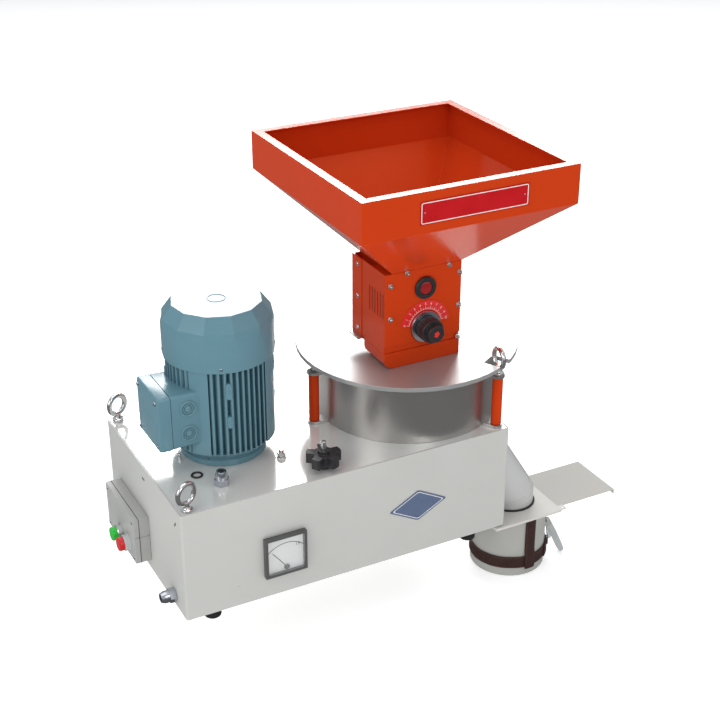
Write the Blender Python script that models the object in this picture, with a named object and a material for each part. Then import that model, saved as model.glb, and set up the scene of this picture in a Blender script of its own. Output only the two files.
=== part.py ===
# Stone flour mill: a bench mill with a vertical flange motor, belt-driven stones, feeder, hopper and outlet.
# Sizes are in metres. X runs along the front, Y to the back, Z up from the flat underside of the base.
# The front faces -Y, the control end faces -X and the outlet end faces +X.

import math

import bmesh
import bpy
from mathutils import Matrix, Vector

# Clearances
GAP = 0.0003
RUNNING_GAP = 0.0015

# Flats round a circle, by the size of the piece
LARGE_FLATS = 48
MEDIUM_FLATS = 32
SMALL_FLATS = 24
FINE_FLATS = 16
GLAND_FLATS = 18
TINY_FLATS = 12
EYE_BAR_FLATS = 6

# Steps along short arcs
ARC_STEPS = 6
SHORT_ARC_STEPS = 3
SHARP_ANGLE = 35.0

# Base housing, deck and feet
BASE_DEPTH = 0.454
BASE_HEIGHT = 0.255
BASE_WALL = 0.004
BASE_CORNER = 0.005
BASE_FLANGE = 0.050
DECK_THICKNESS = 0.0057
DECK_LEDGE = 0.012
PANEL_THICKNESS = 0.003
PANEL_LAP = 0.010
FOOT_RADIUS = 0.0185
FOOT_HEIGHT = 0.025
FOOT_TAPER = 0.002
FOOT_FROM_LEFT_END = 0.068
FOOT_FROM_RIGHT_END = 0.082
FOOT_FROM_SIDE = 0.029

# Lifting eyebolts
EYE_RING_RADIUS = 0.022
EYE_BAR_RADIUS = 0.0055
EYE_COLLAR_RADIUS = 0.0125
EYE_COLLAR_HEIGHT = 0.006
EYE_NECK_RADIUS = 0.0085
EYE_SHANK_RADIUS = 0.006
EYE_HEIGHT = 0.067
DECK_EYE_FROM_END = 0.021
DECK_EYE_FROM_SIDE = 0.016
DECK_EYE_TURN = 22.0
POST_EYE_TURN = 85.0

# Mill housing, cover, posts and stones
MILL_FROM_RIGHT_END = 0.138
MOTOR_TO_MILL = 0.454
MILL_RADIUS = 0.2075
MILL_WALL = 0.004
MILL_HEIGHT = 0.149
COVER_RADIUS = 0.251
COVER_THICKNESS = 0.0098
POST_RADIUS = 0.012
POST_LENGTH = 0.1155
POST_CIRCLE_RADIUS = 0.234
POST_ANGLES = {"clamp_post_left": 180.0, "clamp_post_front": -60.0, "clamp_post_rear": 60.0}
LUG_THICKNESS = 0.006
LUG_MARGIN = 0.003
NOTCH_HALF_WIDTH = 0.0215
NOTCH_INNER_RADIUS = 0.209
STONE_RADIUS = 0.150
STONE_EYE_RADIUS = 0.036
RUNNER_THICKNESS = 0.048
BED_THICKNESS = 0.054
FURROW_COUNT = 10
FURROW_WIDTH = 0.007
FURROW_DEPTH = 0.004
FURROW_SKEW = 0.040

# Grinding spindle and its bearing housing
SPINDLE_RADIUS = 0.014
SPINDLE_HUB_RADIUS = 0.050
SPINDLE_HUB_THICKNESS = 0.012
SPINDLE_NOSE_RADIUS = 0.020
SPINDLE_NOSE_HEIGHT = 0.040
BEARING_RADIUS = 0.042
BEARING_FLANGE_RADIUS = 0.060
BEARING_FLANGE_THICKNESS = 0.010
BEARING_DEPTH = 0.058

# Belt drive
PULLEY_WIDTH = 0.030
PULLEY_BELOW_BEARING = 0.0213
MILL_PULLEY_RADIUS = 0.100
MOTOR_PULLEY_RADIUS = 0.050
BELT_TOP_WIDTH = 0.017
BELT_BOTTOM_WIDTH = 0.0095
BELT_THICKNESS = 0.011
BELT_ARC_STEPS = 20

# Motor
MOTOR_FROM_LEFT_END = 0.188
SHIELD_FOOT_RADIUS = 0.093
SHIELD_WAIST_RADIUS = 0.088
SHIELD_STEP = 0.0025
SHIELD_HEIGHT = 0.0372
SPIGOT_RADIUS = 0.055
FRAME_RADIUS = 0.114
FRAME_CORE_RADIUS = 0.097
FRAME_HEIGHT = 0.207
FRAME_BORE_RADIUS = 0.063
FIN_COUNT = 10
FIN_PITCH = 0.0128
FIN_THICKNESS = 0.0045
ROTOR_RADIUS = 0.060
ROTOR_LENGTH = 0.150
ROTOR_FLOOR = 0.018
SHAFT_RADIUS = 0.014
COWL_CLEARANCE = 0.002
COWL_CHAMFER_RUN = 0.022
COWL_LAP = 0.0125
COWL_HEIGHT = 0.117
COWL_CHAMFER = 0.0295
COWL_SHEET = 0.0025
COWL_FACETS = 12
COWL_TURN = 25.0
FAN_RADIUS = 0.085
FAN_HUB_RADIUS = 0.030
FAN_HEIGHT = 0.028
FAN_BLADES = 8
FAN_BLADE_THICKNESS = 0.004
TERMINAL_BODY_REACH = 0.1263
TERMINAL_LID_DEPTH = 0.039
TERMINAL_FRONT = -0.051
TERMINAL_REAR = 0.056
TERMINAL_BOTTOM = 0.312
TERMINAL_TOP = 0.428
TERMINAL_CHAMFER = 0.020

# Feeder
FEEDER_LEFT_OF_MILL = 0.1246
FEEDER_WIDTH = 0.1866
FEEDER_FRONT = -0.125
FEEDER_DEPTH = 0.146
FEEDER_HEIGHT = 0.1834
FEEDER_SHEET = 0.003
BRACKET_HEIGHT = 0.0376
BRACKET_DEPTH = 0.094
BRACKET_CORNER = 0.022
FLANGE_STRIP_DEPTH = 0.042
FLANGE_STRIP_PROUD = 0.002
COVER_LIP = 0.015
PARTITION_FROM_FRONT = 0.059
THROAT_RADIUS = 0.028
THROAT_WALL = 0.003
THROAT_DROP = 0.015
SLIDE_THICKNESS = 0.0034
SLIDE_WIDTH = 0.050
SLIDE_TAB = 0.012
TRAY_THICKNESS = 0.004
TRAY_WIDTH = 0.056
LOUVRE_COUNT = 6
LOUVRE_WIDTH = 0.0025
LOUVRE_HEIGHT = 0.042
LOUVRE_PITCH = 0.0075
LOUVRE_FIRST = 0.012
LOUVRE_CENTRE = 0.105
DRUM_RADIUS = 0.030
DRUM_CORE_RADIUS = 0.019
DRUM_FLUTES = 6
DRUM_HEIGHT = 0.052
DRUM_SHAFT_RADIUS = 0.006
GEARMOTOR_RADIUS = 0.026
GEARMOTOR_LENGTH = 0.026

# Feeder front: dial, knob and switch
KNOB_FROM_LEFT = 0.0985
KNOB_ABOVE_COVER = 0.0855
KNOB_SKIRT_RADIUS = 0.0355
KNOB_SKIRT_THICKNESS = 0.006
KNOB_BODY_RADIUS = 0.0265
KNOB_BODY_LENGTH = 0.030
KNOB_CAP_RADIUS = 0.0195
KNOB_CAP_LENGTH = 0.015
KNOB_STEM_RADIUS = 0.004
KNOB_STEM_LENGTH = 0.012
DIAL_OUTER_RADIUS = 0.060
DIAL_INNER_RADIUS = 0.037
DIAL_THICKNESS = 0.0010
DIAL_START = 8.0
DIAL_END = 172.0
SWITCH_FROM_LEFT = 0.0965
SWITCH_ABOVE_COVER = 0.1765
SWITCH_RING_RADIUS = 0.0255
SWITCH_RING_DEPTH = 0.007
SWITCH_WELL_RADIUS = 0.0150
SWITCH_BODY_RADIUS = 0.0180
SWITCH_BODY_DEPTH = 0.024
SWITCH_CROWN_INSET = 0.0044
SWITCH_TRAVEL = 0.002

# Hopper
HOPPER_LEFT_OF_MILL = 0.2774
HOPPER_LENGTH = 0.4978
HOPPER_FRONT = -0.3088
HOPPER_DEPTH = 0.5078
HOPPER_BAND = 0.0851
HOPPER_FUNNEL = 0.161
HOPPER_RIM = 0.021
HOPPER_SHEET = 0.003
HOPPER_OUTLET_WIDTH = 0.170
NAME_PLATE_FROM_LEFT = 0.1268
NAME_PLATE_LENGTH = 0.2476
NAME_PLATE_HEIGHT = 0.047
NAME_PLATE_FROM_BAND_FOOT = 0.0187
NAME_PLATE_THICKNESS = 0.0010

# Control box and its buttons on the left end
CONTROL_DEPTH = 0.0353
CONTROL_FROM_REAR = 0.066
CONTROL_WIDTH = 0.1825
CONTROL_BOTTOM = 0.027
CONTROL_TOP = 0.1365
CONTROL_GROOVE_HEIGHT = 0.063
CONTROL_GROOVE_WIDTH = 0.003
CONTROL_GROOVE_DEPTH = 0.0015
CONTROL_WALL = 0.004
BUTTON_FROM_BOX_FRONT = {"stop_button": 0.0415, "start_button": 0.0868}
BUTTON_HEIGHT = 0.0605
BUTTON_RADIUS = 0.01575
BUTTON_STANDOFF = 0.0255
BUTTON_HEAD_THICKNESS = 0.014
BUTTON_STEM_RADIUS = 0.005
BUTTON_STEM_LENGTH = 0.022

# Cable glands
GLAND_HEX_RADIUS = 0.0165
GLAND_HEX_HEIGHT = 0.014
GLAND_DOME_RADIUS = 0.0135
GLAND_TOTAL_HEIGHT = 0.032
GLAND_BORE_RADIUS = 0.0075
GLAND_SHANK_RADIUS = 0.010
DECK_GLAND_LEFT_OF_MOTOR = 0.0656
DECK_GLAND_FROM_FRONT = 0.0785
END_GLAND_FROM_FRONT = 0.0663
END_GLAND_Z = 0.0254

# Ammeter
METER_SIZE = 0.096
METER_FROM_LEFT_END = 0.225
METER_Z = 0.0999
METER_BEZEL_DEPTH = 0.012
METER_WINDOW = 0.084
METER_WELL_DEPTH = 0.008
METER_BODY_RADIUS = 0.0445
METER_BODY_DEPTH = 0.045
NEEDLE_LENGTH = 0.052
NEEDLE_WIDTH = 0.0016
NEEDLE_THICKNESS = 0.0008
NEEDLE_PIVOT_DROP = 0.0334
NEEDLE_PIVOT_RIGHT = 0.0025
NEEDLE_REST = 128.0
NEEDLE_HUB_RADIUS = 0.004

# Star knob and its screw
STAR_LEFT_OF_MILL = 0.3017
STAR_FROM_FRONT = 0.0417
STAR_RADIUS = 0.038
STAR_WAIST_RADIUS = 0.0235
STAR_LOBES = 5
STAR_LOBE_SPREAD = 15.0
STAR_VALLEY_SPREAD = 9.0
STAR_STANDOFF = 0.012
STAR_HEIGHT = 0.024
STAR_HUB_RADIUS = 0.0137
STAR_HUB_HEIGHT = 0.007
SCREW_RADIUS = 0.006
SCREW_TOP = 0.0635
SCREW_LENGTH = 0.120

# Outlet duct, slide gate, sleeve, strap and latch
OUTLET_FROM_END = 0.075
OUTLET_FROM_FRONT = 0.0925
DUCT_RADIUS = 0.055
DUCT_WALL = 0.0025
DUCT_ENTRY_FROM_SPINDLE = 0.0669
MITRE_HEIGHT = 0.0215
GATE_TOP = -0.0040
GATE_THICKNESS = 0.0064
GATE_LEFT_OF_OUTLET = 0.099
GATE_RIGHT_OF_OUTLET = 0.083
GATE_AHEAD_OF_OUTLET = 0.0975
GATE_BEHIND_OUTLET = 0.0875
GATE_TAB_LENGTH = 0.014
GATE_TAB_WIDTH = 0.018
GATE_TAB_HOLE = 0.0025
SLIDE_GATE_THICKNESS = 0.0018
SLIDE_GATE_WIDTH = 0.148
SLIDE_GATE_LENGTH = 0.1918
SLIDE_GATE_END = 0.2487
SLIDE_GATE_LIP = 0.010
SLIDE_GATE_TRAVEL = 0.130
SLEEVE_RADIUS = 0.0884
SLEEVE_WALL = 0.0025
SLEEVE_LENGTH = 0.1533
STRAP_THICKNESS = 0.0036
STRAP_WIDTH = 0.032
STRAP_FROM_FOOT = 0.022
TAIL_ANGLE = -88.0
TAIL_WIDTH = 0.024
LATCH_ANGLE = -20.0
LATCH_DROP = 0.066
LATCH_EYE_RADIUS = 0.006
LATCH_PIN_RADIUS = 0.0025
LATCH_ARM_LENGTH = 0.085
LATCH_ARM_WIDTH = 0.016
LATCH_ARM_THICKNESS = 0.005
LATCH_LEAN = 25.0
LATCH_EAR_THICKNESS = 0.003

# Places worked out from the sizes
BASE_LENGTH = MOTOR_FROM_LEFT_END + MOTOR_TO_MILL + MILL_FROM_RIGHT_END
LEFT_END = -BASE_LENGTH / 2
RIGHT_END = BASE_LENGTH / 2
FRONT = -BASE_DEPTH / 2
REAR = BASE_DEPTH / 2
DECK_UNDERSIDE = BASE_HEIGHT - DECK_THICKNESS
MILL_X = RIGHT_END - MILL_FROM_RIGHT_END
MOTOR_X = LEFT_END + MOTOR_FROM_LEFT_END
MILL_FLOOR = BASE_HEIGHT + GAP
COVER_UNDERSIDE = MILL_FLOOR + MILL_HEIGHT + GAP
COVER_TOP = COVER_UNDERSIDE + COVER_THICKNESS
POST_FOOT = MILL_FLOOR + LUG_THICKNESS + GAP
LUG_TOP = POST_FOOT + POST_LENGTH + GAP + LUG_THICKNESS
BED_UNDERSIDE = COVER_UNDERSIDE - GAP - BED_THICKNESS
RUNNER_TOP = BED_UNDERSIDE - RUNNING_GAP
RUNNER_UNDERSIDE = RUNNER_TOP - RUNNER_THICKNESS
FEEDER_LEFT = MILL_X - FEEDER_LEFT_OF_MILL
FEEDER_RIGHT = FEEDER_LEFT + FEEDER_WIDTH
FEEDER_REAR = FEEDER_FRONT + FEEDER_DEPTH
FEEDER_FOOT = COVER_TOP + GAP + BRACKET_HEIGHT
FEEDER_TOP = FEEDER_FOOT + FEEDER_HEIGHT
HOPPER_FOOT = FEEDER_TOP + GAP
SHIELD_TOP = BASE_HEIGHT + GAP + SHIELD_HEIGHT
FRAME_FOOT = SHIELD_TOP + GAP
FRAME_TOP = FRAME_FOOT + FRAME_HEIGHT
COWL_RADIUS = FRAME_RADIUS + COWL_CLEARANCE + COWL_SHEET
COWL_TOP_RADIUS = COWL_RADIUS - COWL_CHAMFER_RUN
COWL_FOOT = FRAME_TOP - COWL_LAP
COWL_TOP = COWL_FOOT + COWL_HEIGHT
PULLEY_TOP = DECK_UNDERSIDE - BEARING_DEPTH - PULLEY_BELOW_BEARING
PULLEY_FOOT = PULLEY_TOP - PULLEY_WIDTH
OUTLET_X = RIGHT_END + OUTLET_FROM_END
OUTLET_Y = FRONT + OUTLET_FROM_FRONT
GATE_FRONT = OUTLET_Y - GATE_AHEAD_OF_OUTLET
GATE_REAR = OUTLET_Y + GATE_BEHIND_OUTLET
GATE_UNDERSIDE = GATE_TOP - GATE_THICKNESS
SLEEVE_TOP = GATE_UNDERSIDE - GAP
SLEEVE_FOOT = SLEEVE_TOP - SLEEVE_LENGTH
DUCT_RUN = OUTLET_X - MILL_X - DUCT_ENTRY_FROM_SPINDLE
DUCT_SLOPE = math.atan2(MILL_FLOOR - MITRE_HEIGHT, DUCT_RUN)
DECK_GLAND_X = MOTOR_X - DECK_GLAND_LEFT_OF_MOTOR
DECK_GLAND_Y = FRONT + DECK_GLAND_FROM_FRONT
END_GLAND_Y = FRONT + END_GLAND_FROM_FRONT
CONTROL_REAR = REAR - CONTROL_FROM_REAR
CONTROL_FRONT = CONTROL_REAR - CONTROL_WIDTH
METER_X = LEFT_END + METER_FROM_LEFT_END
STAR_X = MILL_X - STAR_LEFT_OF_MILL
STAR_Y = FRONT + STAR_FROM_FRONT

# Ways that a piece built along +Z can face
FACE_FRONT = Matrix.Rotation(math.radians(90), 4, "X")
FACE_LEFT = Matrix(((0, 0, -1, 0), (-1, 0, 0, 0), (0, 1, 0, 0), (0, 0, 0, 1)))

# Colours as linear red, green, blue
PALE_GREY = (0.62, 0.61, 0.57)
STEEL = (0.55, 0.55, 0.54)
CHROME = (0.72, 0.72, 0.72)
ORANGE = (0.62, 0.07, 0.012)
MOTOR_BLUE = (0.10, 0.22, 0.26)
BLACK = (0.012, 0.012, 0.013)
MID_GREY = (0.30, 0.30, 0.30)
STONE = (0.55, 0.50, 0.42)
LEATHER = (0.06, 0.020, 0.014)
GREEN = (0.02, 0.35, 0.06)
RED = (0.55, 0.015, 0.012)
CAST_GREY = (0.20, 0.20, 0.20)
ZINC = (0.42, 0.43, 0.44)


def clear_scene():
    for old in list(bpy.data.objects):
        bpy.data.objects.remove(old, do_unlink=True)


def make_material(name, colour, roughness, metallic):
    material = bpy.data.materials.new(name)
    material.use_nodes = True
    shader = material.node_tree.nodes["Principled BSDF"]
    shader.inputs["Base Color"].default_value = (*colour, 1.0)
    shader.inputs["Roughness"].default_value = roughness
    shader.inputs["Metallic"].default_value = metallic
    return material


def make_mesh_object(name, shape, place, smooth):
    bmesh.ops.recalc_face_normals(shape, faces=shape.faces)
    mesh = bpy.data.meshes.new(name)
    shape.to_mesh(mesh)
    shape.free()
    if smooth:
        mesh.shade_smooth()
        mesh.set_sharp_from_angle(angle=math.radians(SHARP_ANGLE))
    made = bpy.data.objects.new(name, mesh)
    made.matrix_world = place
    bpy.context.scene.collection.objects.link(made)
    return made


def add_piece(name, shape, colour, roughness, metallic=0.0, at=(0, 0, 0), turn=None, smooth=False):
    place = Matrix.Translation(at)
    if turn is not None:
        place = place @ turn
    made = make_mesh_object(name, shape, place, smooth)
    made.data.materials.append(make_material(name + "_finish", colour, roughness, metallic))
    return made


def apply_boolean(piece, shape, operation, at=(0, 0, 0), turn=None):
    place = Matrix.Translation(at)
    if turn is not None:
        place = place @ turn
    count = len(piece.modifiers) + 1
    tool = make_mesh_object("guide_" + piece.name + "_" + str(count), shape, place, False)
    tool.hide_render = True
    tool.display_type = "WIRE"
    modifier = piece.modifiers.new(operation.lower() + "_" + str(count), "BOOLEAN")
    modifier.operation = operation
    modifier.solver = "EXACT"
    modifier.object = tool


def cut(piece, shape, at=(0, 0, 0), turn=None):
    apply_boolean(piece, shape, "DIFFERENCE", at, turn)


def join(piece, shape, at=(0, 0, 0), turn=None):
    apply_boolean(piece, shape, "UNION", at, turn)


def circle(radius, count, phase=0.0):
    step = 2 * math.pi / count
    angles = [phase + step * i for i in range(count)]
    return [Vector((radius * math.cos(angle), radius * math.sin(angle))) for angle in angles]


def arc(radius, start, end, steps, centre=(0.0, 0.0)):
    points = []
    for i in range(steps + 1):
        angle = math.radians(start + (end - start) * i / steps)
        points.append(Vector((centre[0] + radius * math.cos(angle), centre[1] + radius * math.sin(angle))))
    return points


def rectangle(left, right, low, high):
    return [Vector((left, low)), Vector((right, low)), Vector((right, high)), Vector((left, high))]


def rounded_rectangle(half_x, half_y, radius, steps=SHORT_ARC_STEPS):
    radius = max(radius, GAP)
    corners = [(1, 1, 0), (-1, 1, 90), (-1, -1, 180), (1, -1, 270)]
    points = []
    for side_x, side_y, start in corners:
        centre = (side_x * (half_x - radius), side_y * (half_y - radius))
        points += arc(radius, start, start + 90, steps, centre)
    return points


def polygon_ring(radius, facets, count, phase):
    # A regular polygon given by count points, so that it lofts onto a circle of count points.
    points = []
    facet = 2 * math.pi / facets
    for i in range(count):
        angle = 2 * math.pi * i / count
        offset = (angle % facet) - facet / 2
        reach = radius * math.cos(facet / 2) / math.cos(offset)
        points.append(Vector((reach * math.cos(phase + angle), reach * math.sin(phase + angle))))
    return points


def at_height(outline, height):
    return [Vector((point[0], point[1], height)) for point in outline]


def lofted(rings, closed=False):
    # Joins rings of equally many points. A closed loft is a tube of rings; an open one is capped.
    shape = bmesh.new()
    rows = [[shape.verts.new(point) for point in ring] for ring in rings]
    count = len(rows[0])
    pairs = list(zip(rows, rows[1:]))
    if closed:
        pairs.append((rows[-1], rows[0]))
    for lower, upper in pairs:
        for i in range(count):
            j = (i + 1) % count
            shape.faces.new((lower[i], lower[j], upper[j], upper[i]))
    if not closed:
        shape.faces.new(list(reversed(rows[0])))
        shape.faces.new(rows[-1])
    return shape


def extruded(outline, low, high):
    return lofted([at_height(outline, low), at_height(outline, high)])


def block(left, right, front, rear, low, high):
    return extruded(rectangle(left, right, front, rear), low, high)


def turned(profile, count, closed=False, phase=0.0):
    # Turns (radius, height) points about Z. An open profile is capped flat at its first and last points.
    rings = [at_height(circle(radius, count, phase), height) for radius, height in profile]
    return lofted(rings, closed)


def tube(inner, outer, low, high, count):
    return turned([(inner, low), (outer, low), (outer, high), (inner, high)], count, closed=True)


def torus(ring_radius, bar_radius, ring_count, bar_count):
    profile = []
    for i in range(bar_count):
        angle = 2 * math.pi * i / bar_count
        profile.append((ring_radius + bar_radius * math.cos(angle), bar_radius * math.sin(angle)))
    return turned(profile, ring_count, closed=True)


def slanted_rod(radius, start_height, end_height, count=MEDIUM_FLATS):
    # The outlet's sloping bore as a solid rod, cut level at both heights, for every hole it needs.
    rings = []
    for height in (start_height, end_height):
        rings.append(slanted_ring(radius, height, count))
    return lofted(rings)


def slope_direction():
    return Vector((-math.cos(DUCT_SLOPE), 0.0, math.sin(DUCT_SLOPE)))


def mitre_ring(radius, count):
    # Where the upright pipe meets the sloping one, on the plane midway between their directions.
    normal = (Vector((0, 0, 1)) + slope_direction()).normalized()
    ring = []
    for point in circle(radius, count):
        height = MITRE_HEIGHT - (normal.x * point.x + normal.y * point.y) / normal.z
        ring.append(Vector((OUTLET_X + point.x, OUTLET_Y + point.y, height)))
    return ring


def slanted_ring(radius, height, count):
    direction = slope_direction()
    ring = []
    for point in mitre_ring(radius, count):
        ring.append(point + direction * ((height - point.z) / direction.z))
    return ring


# Base

def build_base():
    ledge_top = DECK_UNDERSIDE - GAP
    profile = [(0, 0), (0, BASE_HEIGHT), (BASE_WALL, BASE_HEIGHT), (BASE_WALL, ledge_top)]
    profile += [(BASE_WALL + DECK_LEDGE, ledge_top), (BASE_WALL + DECK_LEDGE, ledge_top - BASE_WALL)]
    profile += [(BASE_WALL, ledge_top - BASE_WALL), (BASE_WALL, BASE_WALL)]
    profile += [(BASE_FLANGE, BASE_WALL), (BASE_FLANGE, 0)]
    rings = []
    for inset, height in profile:
        rings.append(at_height(base_outline(inset), height))
    housing = add_piece("base_housing", lofted(rings, closed=True), PALE_GREY, 0.35)
    cut(housing, slanted_rod(DUCT_RADIUS + GAP, MITRE_HEIGHT, BASE_HEIGHT + BASE_WALL))
    meter_hole = extruded(circle(METER_BODY_RADIUS + GAP, MEDIUM_FLATS), -2 * BASE_WALL, BASE_WALL)
    cut(housing, meter_hole, (METER_X, FRONT, METER_Z), FACE_FRONT)
    gland_hole = extruded(circle(GLAND_SHANK_RADIUS + GAP, SMALL_FLATS), -2 * BASE_WALL, BASE_WALL)
    cut(housing, gland_hole, (LEFT_END, END_GLAND_Y, END_GLAND_Z), FACE_LEFT)


def base_outline(inset):
    return rounded_rectangle(BASE_LENGTH / 2 - inset, BASE_DEPTH / 2 - inset, BASE_CORNER - inset)


def deck_eye_places():
    x = LEFT_END + DECK_EYE_FROM_END
    y = REAR - DECK_EYE_FROM_SIDE
    return {"deck_eyebolt_front": (x, -y), "deck_eyebolt_rear": (x, y)}


def build_deck():
    shape = extruded(base_outline(BASE_WALL + GAP), DECK_UNDERSIDE, BASE_HEIGHT)
    deck = add_piece("deck_plate", shape, STEEL, 0.22, 1.0)
    low = DECK_UNDERSIDE - BASE_WALL
    high = BASE_HEIGHT + BASE_WALL
    cut(deck, slanted_rod(DUCT_RADIUS + GAP, MITRE_HEIGHT, high))
    holes = [(MOTOR_X, 0, SPIGOT_RADIUS + GAP, MEDIUM_FLATS), (MILL_X, 0, BEARING_RADIUS + GAP, SMALL_FLATS)]
    holes += [(STAR_X, STAR_Y, SCREW_RADIUS + GAP, FINE_FLATS)]
    holes += [(DECK_GLAND_X, DECK_GLAND_Y, GLAND_SHANK_RADIUS + GAP, SMALL_FLATS)]
    for x, y in deck_eye_places().values():
        holes.append((x, y, EYE_SHANK_RADIUS + GAP, FINE_FLATS))
    for x, y, radius, count in holes:
        cut(deck, extruded(circle(radius, count), low, high), (x, y, 0))


def build_bottom_panel():
    # A pan that fills the opening of the housing's return flange and lies on the flange from inside.
    opening = base_outline(BASE_FLANGE + GAP)
    lap = base_outline(BASE_FLANGE - PANEL_LAP)
    seat = BASE_WALL + GAP
    rings = [at_height(opening, 0), at_height(opening, seat)]
    rings += [at_height(lap, seat), at_height(lap, seat + PANEL_THICKNESS)]
    add_piece("bottom_panel", lofted(rings), PALE_GREY, 0.4)


def build_feet():
    xs = {"left": LEFT_END + FOOT_FROM_LEFT_END, "right": RIGHT_END - FOOT_FROM_RIGHT_END}
    ys = {"front": FRONT + FOOT_FROM_SIDE, "rear": REAR - FOOT_FROM_SIDE}
    top = -GAP
    bottom = top - FOOT_HEIGHT
    profile = [(FOOT_RADIUS - FOOT_TAPER, bottom), (FOOT_RADIUS, bottom + FOOT_TAPER), (FOOT_RADIUS, top)]
    for side, x in xs.items():
        for end, y in ys.items():
            name = "foot_" + end + "_" + side
            add_piece(name, turned(profile, FINE_FLATS), BLACK, 0.7, at=(x, y, 0), smooth=True)


# Lifting eyebolts

def build_eyebolt(name, x, y, seat, shank_length, turn_degrees):
    ring_height = EYE_HEIGHT - EYE_RING_RADIUS - EYE_BAR_RADIUS
    neck_top = ring_height - EYE_RING_RADIUS
    profile = [(EYE_SHANK_RADIUS, -shank_length), (EYE_SHANK_RADIUS, 0), (EYE_COLLAR_RADIUS, 0)]
    profile += [(EYE_COLLAR_RADIUS, EYE_COLLAR_HEIGHT), (EYE_NECK_RADIUS, EYE_COLLAR_HEIGHT)]
    profile += [(EYE_BAR_RADIUS - GAP, neck_top)]
    turn = Matrix.Rotation(math.radians(turn_degrees), 4, "Z")
    foot = seat + GAP
    shape = turned(profile, TINY_FLATS)
    eyebolt = add_piece(name, shape, CHROME, 0.15, 1.0, (x, y, foot), turn, smooth=True)
    upright = turn @ FACE_FRONT
    ring = torus(EYE_RING_RADIUS, EYE_BAR_RADIUS, FINE_FLATS, EYE_BAR_FLATS)
    join(eyebolt, ring, (x, y, foot + ring_height), upright)


def build_eyebolts():
    for name, (x, y) in deck_eye_places().items():
        build_eyebolt(name, x, y, BASE_HEIGHT, DECK_THICKNESS - GAP, DECK_EYE_TURN)
    x, y = post_place(POST_ANGLES["clamp_post_front"])
    build_eyebolt("post_eyebolt", x, y, LUG_TOP, LUG_THICKNESS - GAP, POST_EYE_TURN)


# Mill

def post_place(degrees):
    angle = math.radians(degrees)
    return MILL_X + POST_CIRCLE_RADIUS * math.cos(angle), POST_CIRCLE_RADIUS * math.sin(angle)


def lug_outline():
    reach = POST_RADIUS + LUG_MARGIN
    inner = MILL_RADIUS - MILL_WALL / 2
    outline = [Vector((inner, -reach))] + arc(reach, -90, 90, ARC_STEPS, (POST_CIRCLE_RADIUS, 0))
    return outline + [Vector((inner, reach))]


def build_mill_housing():
    top = MILL_FLOOR + MILL_HEIGHT
    inner = MILL_RADIUS - MILL_WALL
    hole = BEARING_RADIUS + GAP
    profile = [(hole, MILL_FLOOR), (MILL_RADIUS, MILL_FLOOR), (MILL_RADIUS, top), (inner, top)]
    profile += [(inner, MILL_FLOOR + MILL_WALL), (hole, MILL_FLOOR + MILL_WALL)]
    shape = turned(profile, LARGE_FLATS, closed=True)
    housing = add_piece("mill_housing", shape, STEEL, 0.28, 1.0, (MILL_X, 0, 0), smooth=True)
    for degrees in POST_ANGLES.values():
        turn = Matrix.Rotation(math.radians(degrees), 4, "Z")
        for low in (MILL_FLOOR, LUG_TOP - LUG_THICKNESS):
            join(housing, extruded(lug_outline(), low, low + LUG_THICKNESS), (MILL_X, 0, 0), turn)
    x, y = post_place(POST_ANGLES["clamp_post_front"])
    low = LUG_TOP - LUG_THICKNESS - GAP
    hole = extruded(circle(EYE_SHANK_RADIUS + GAP, FINE_FLATS), low, LUG_TOP + LUG_THICKNESS)
    cut(housing, hole, (x, y, 0))
    cut(housing, slanted_rod(DUCT_RADIUS + GAP, MITRE_HEIGHT, MILL_FLOOR + 2 * MILL_WALL))


def build_top_cover():
    shape = tube(THROAT_RADIUS + GAP, COVER_RADIUS, COVER_UNDERSIDE, COVER_TOP, LARGE_FLATS)
    cover = add_piece("top_cover", shape, STEEL, 0.2, 1.0, (MILL_X, 0, 0), smooth=True)
    beyond = COVER_RADIUS + NOTCH_HALF_WIDTH
    notch = rectangle(NOTCH_INNER_RADIUS, beyond, -NOTCH_HALF_WIDTH, NOTCH_HALF_WIDTH)
    turn = Matrix.Rotation(math.radians(POST_ANGLES["clamp_post_front"]), 4, "Z")
    low = COVER_UNDERSIDE - COVER_THICKNESS
    cut(cover, extruded(notch, low, COVER_TOP + COVER_THICKNESS), (MILL_X, 0, 0), turn)


def build_posts():
    bevel = LUG_MARGIN / 3
    low = POST_FOOT
    high = POST_FOOT + POST_LENGTH
    profile = [(POST_RADIUS - bevel, low), (POST_RADIUS, low + bevel)]
    profile += [(POST_RADIUS, high - bevel), (POST_RADIUS - bevel, high)]
    for name, degrees in POST_ANGLES.items():
        x, y = post_place(degrees)
        add_piece(name, turned(profile, FINE_FLATS), ORANGE, 0.25, at=(x, y, 0), smooth=True)


def cut_furrows(stone, face_height, mirror):
    # Straight furrows, laid off the centre as in a dressed stone; the two faces lean opposite ways.
    low = face_height - FURROW_DEPTH
    high = face_height + FURROW_DEPTH
    inner = STONE_EYE_RADIUS + FURROW_DEPTH
    for i in range(FURROW_COUNT):
        turn = Matrix.Rotation(2 * math.pi * i / FURROW_COUNT, 4, "Z")
        middle = mirror * FURROW_SKEW / 2
        far = STONE_RADIUS + FURROW_WIDTH
        outline = rectangle(inner + FURROW_SKEW / 2, far, middle, middle + FURROW_WIDTH)
        cut(stone, extruded(outline, low, high), (MILL_X, 0, 0), turn)


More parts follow.
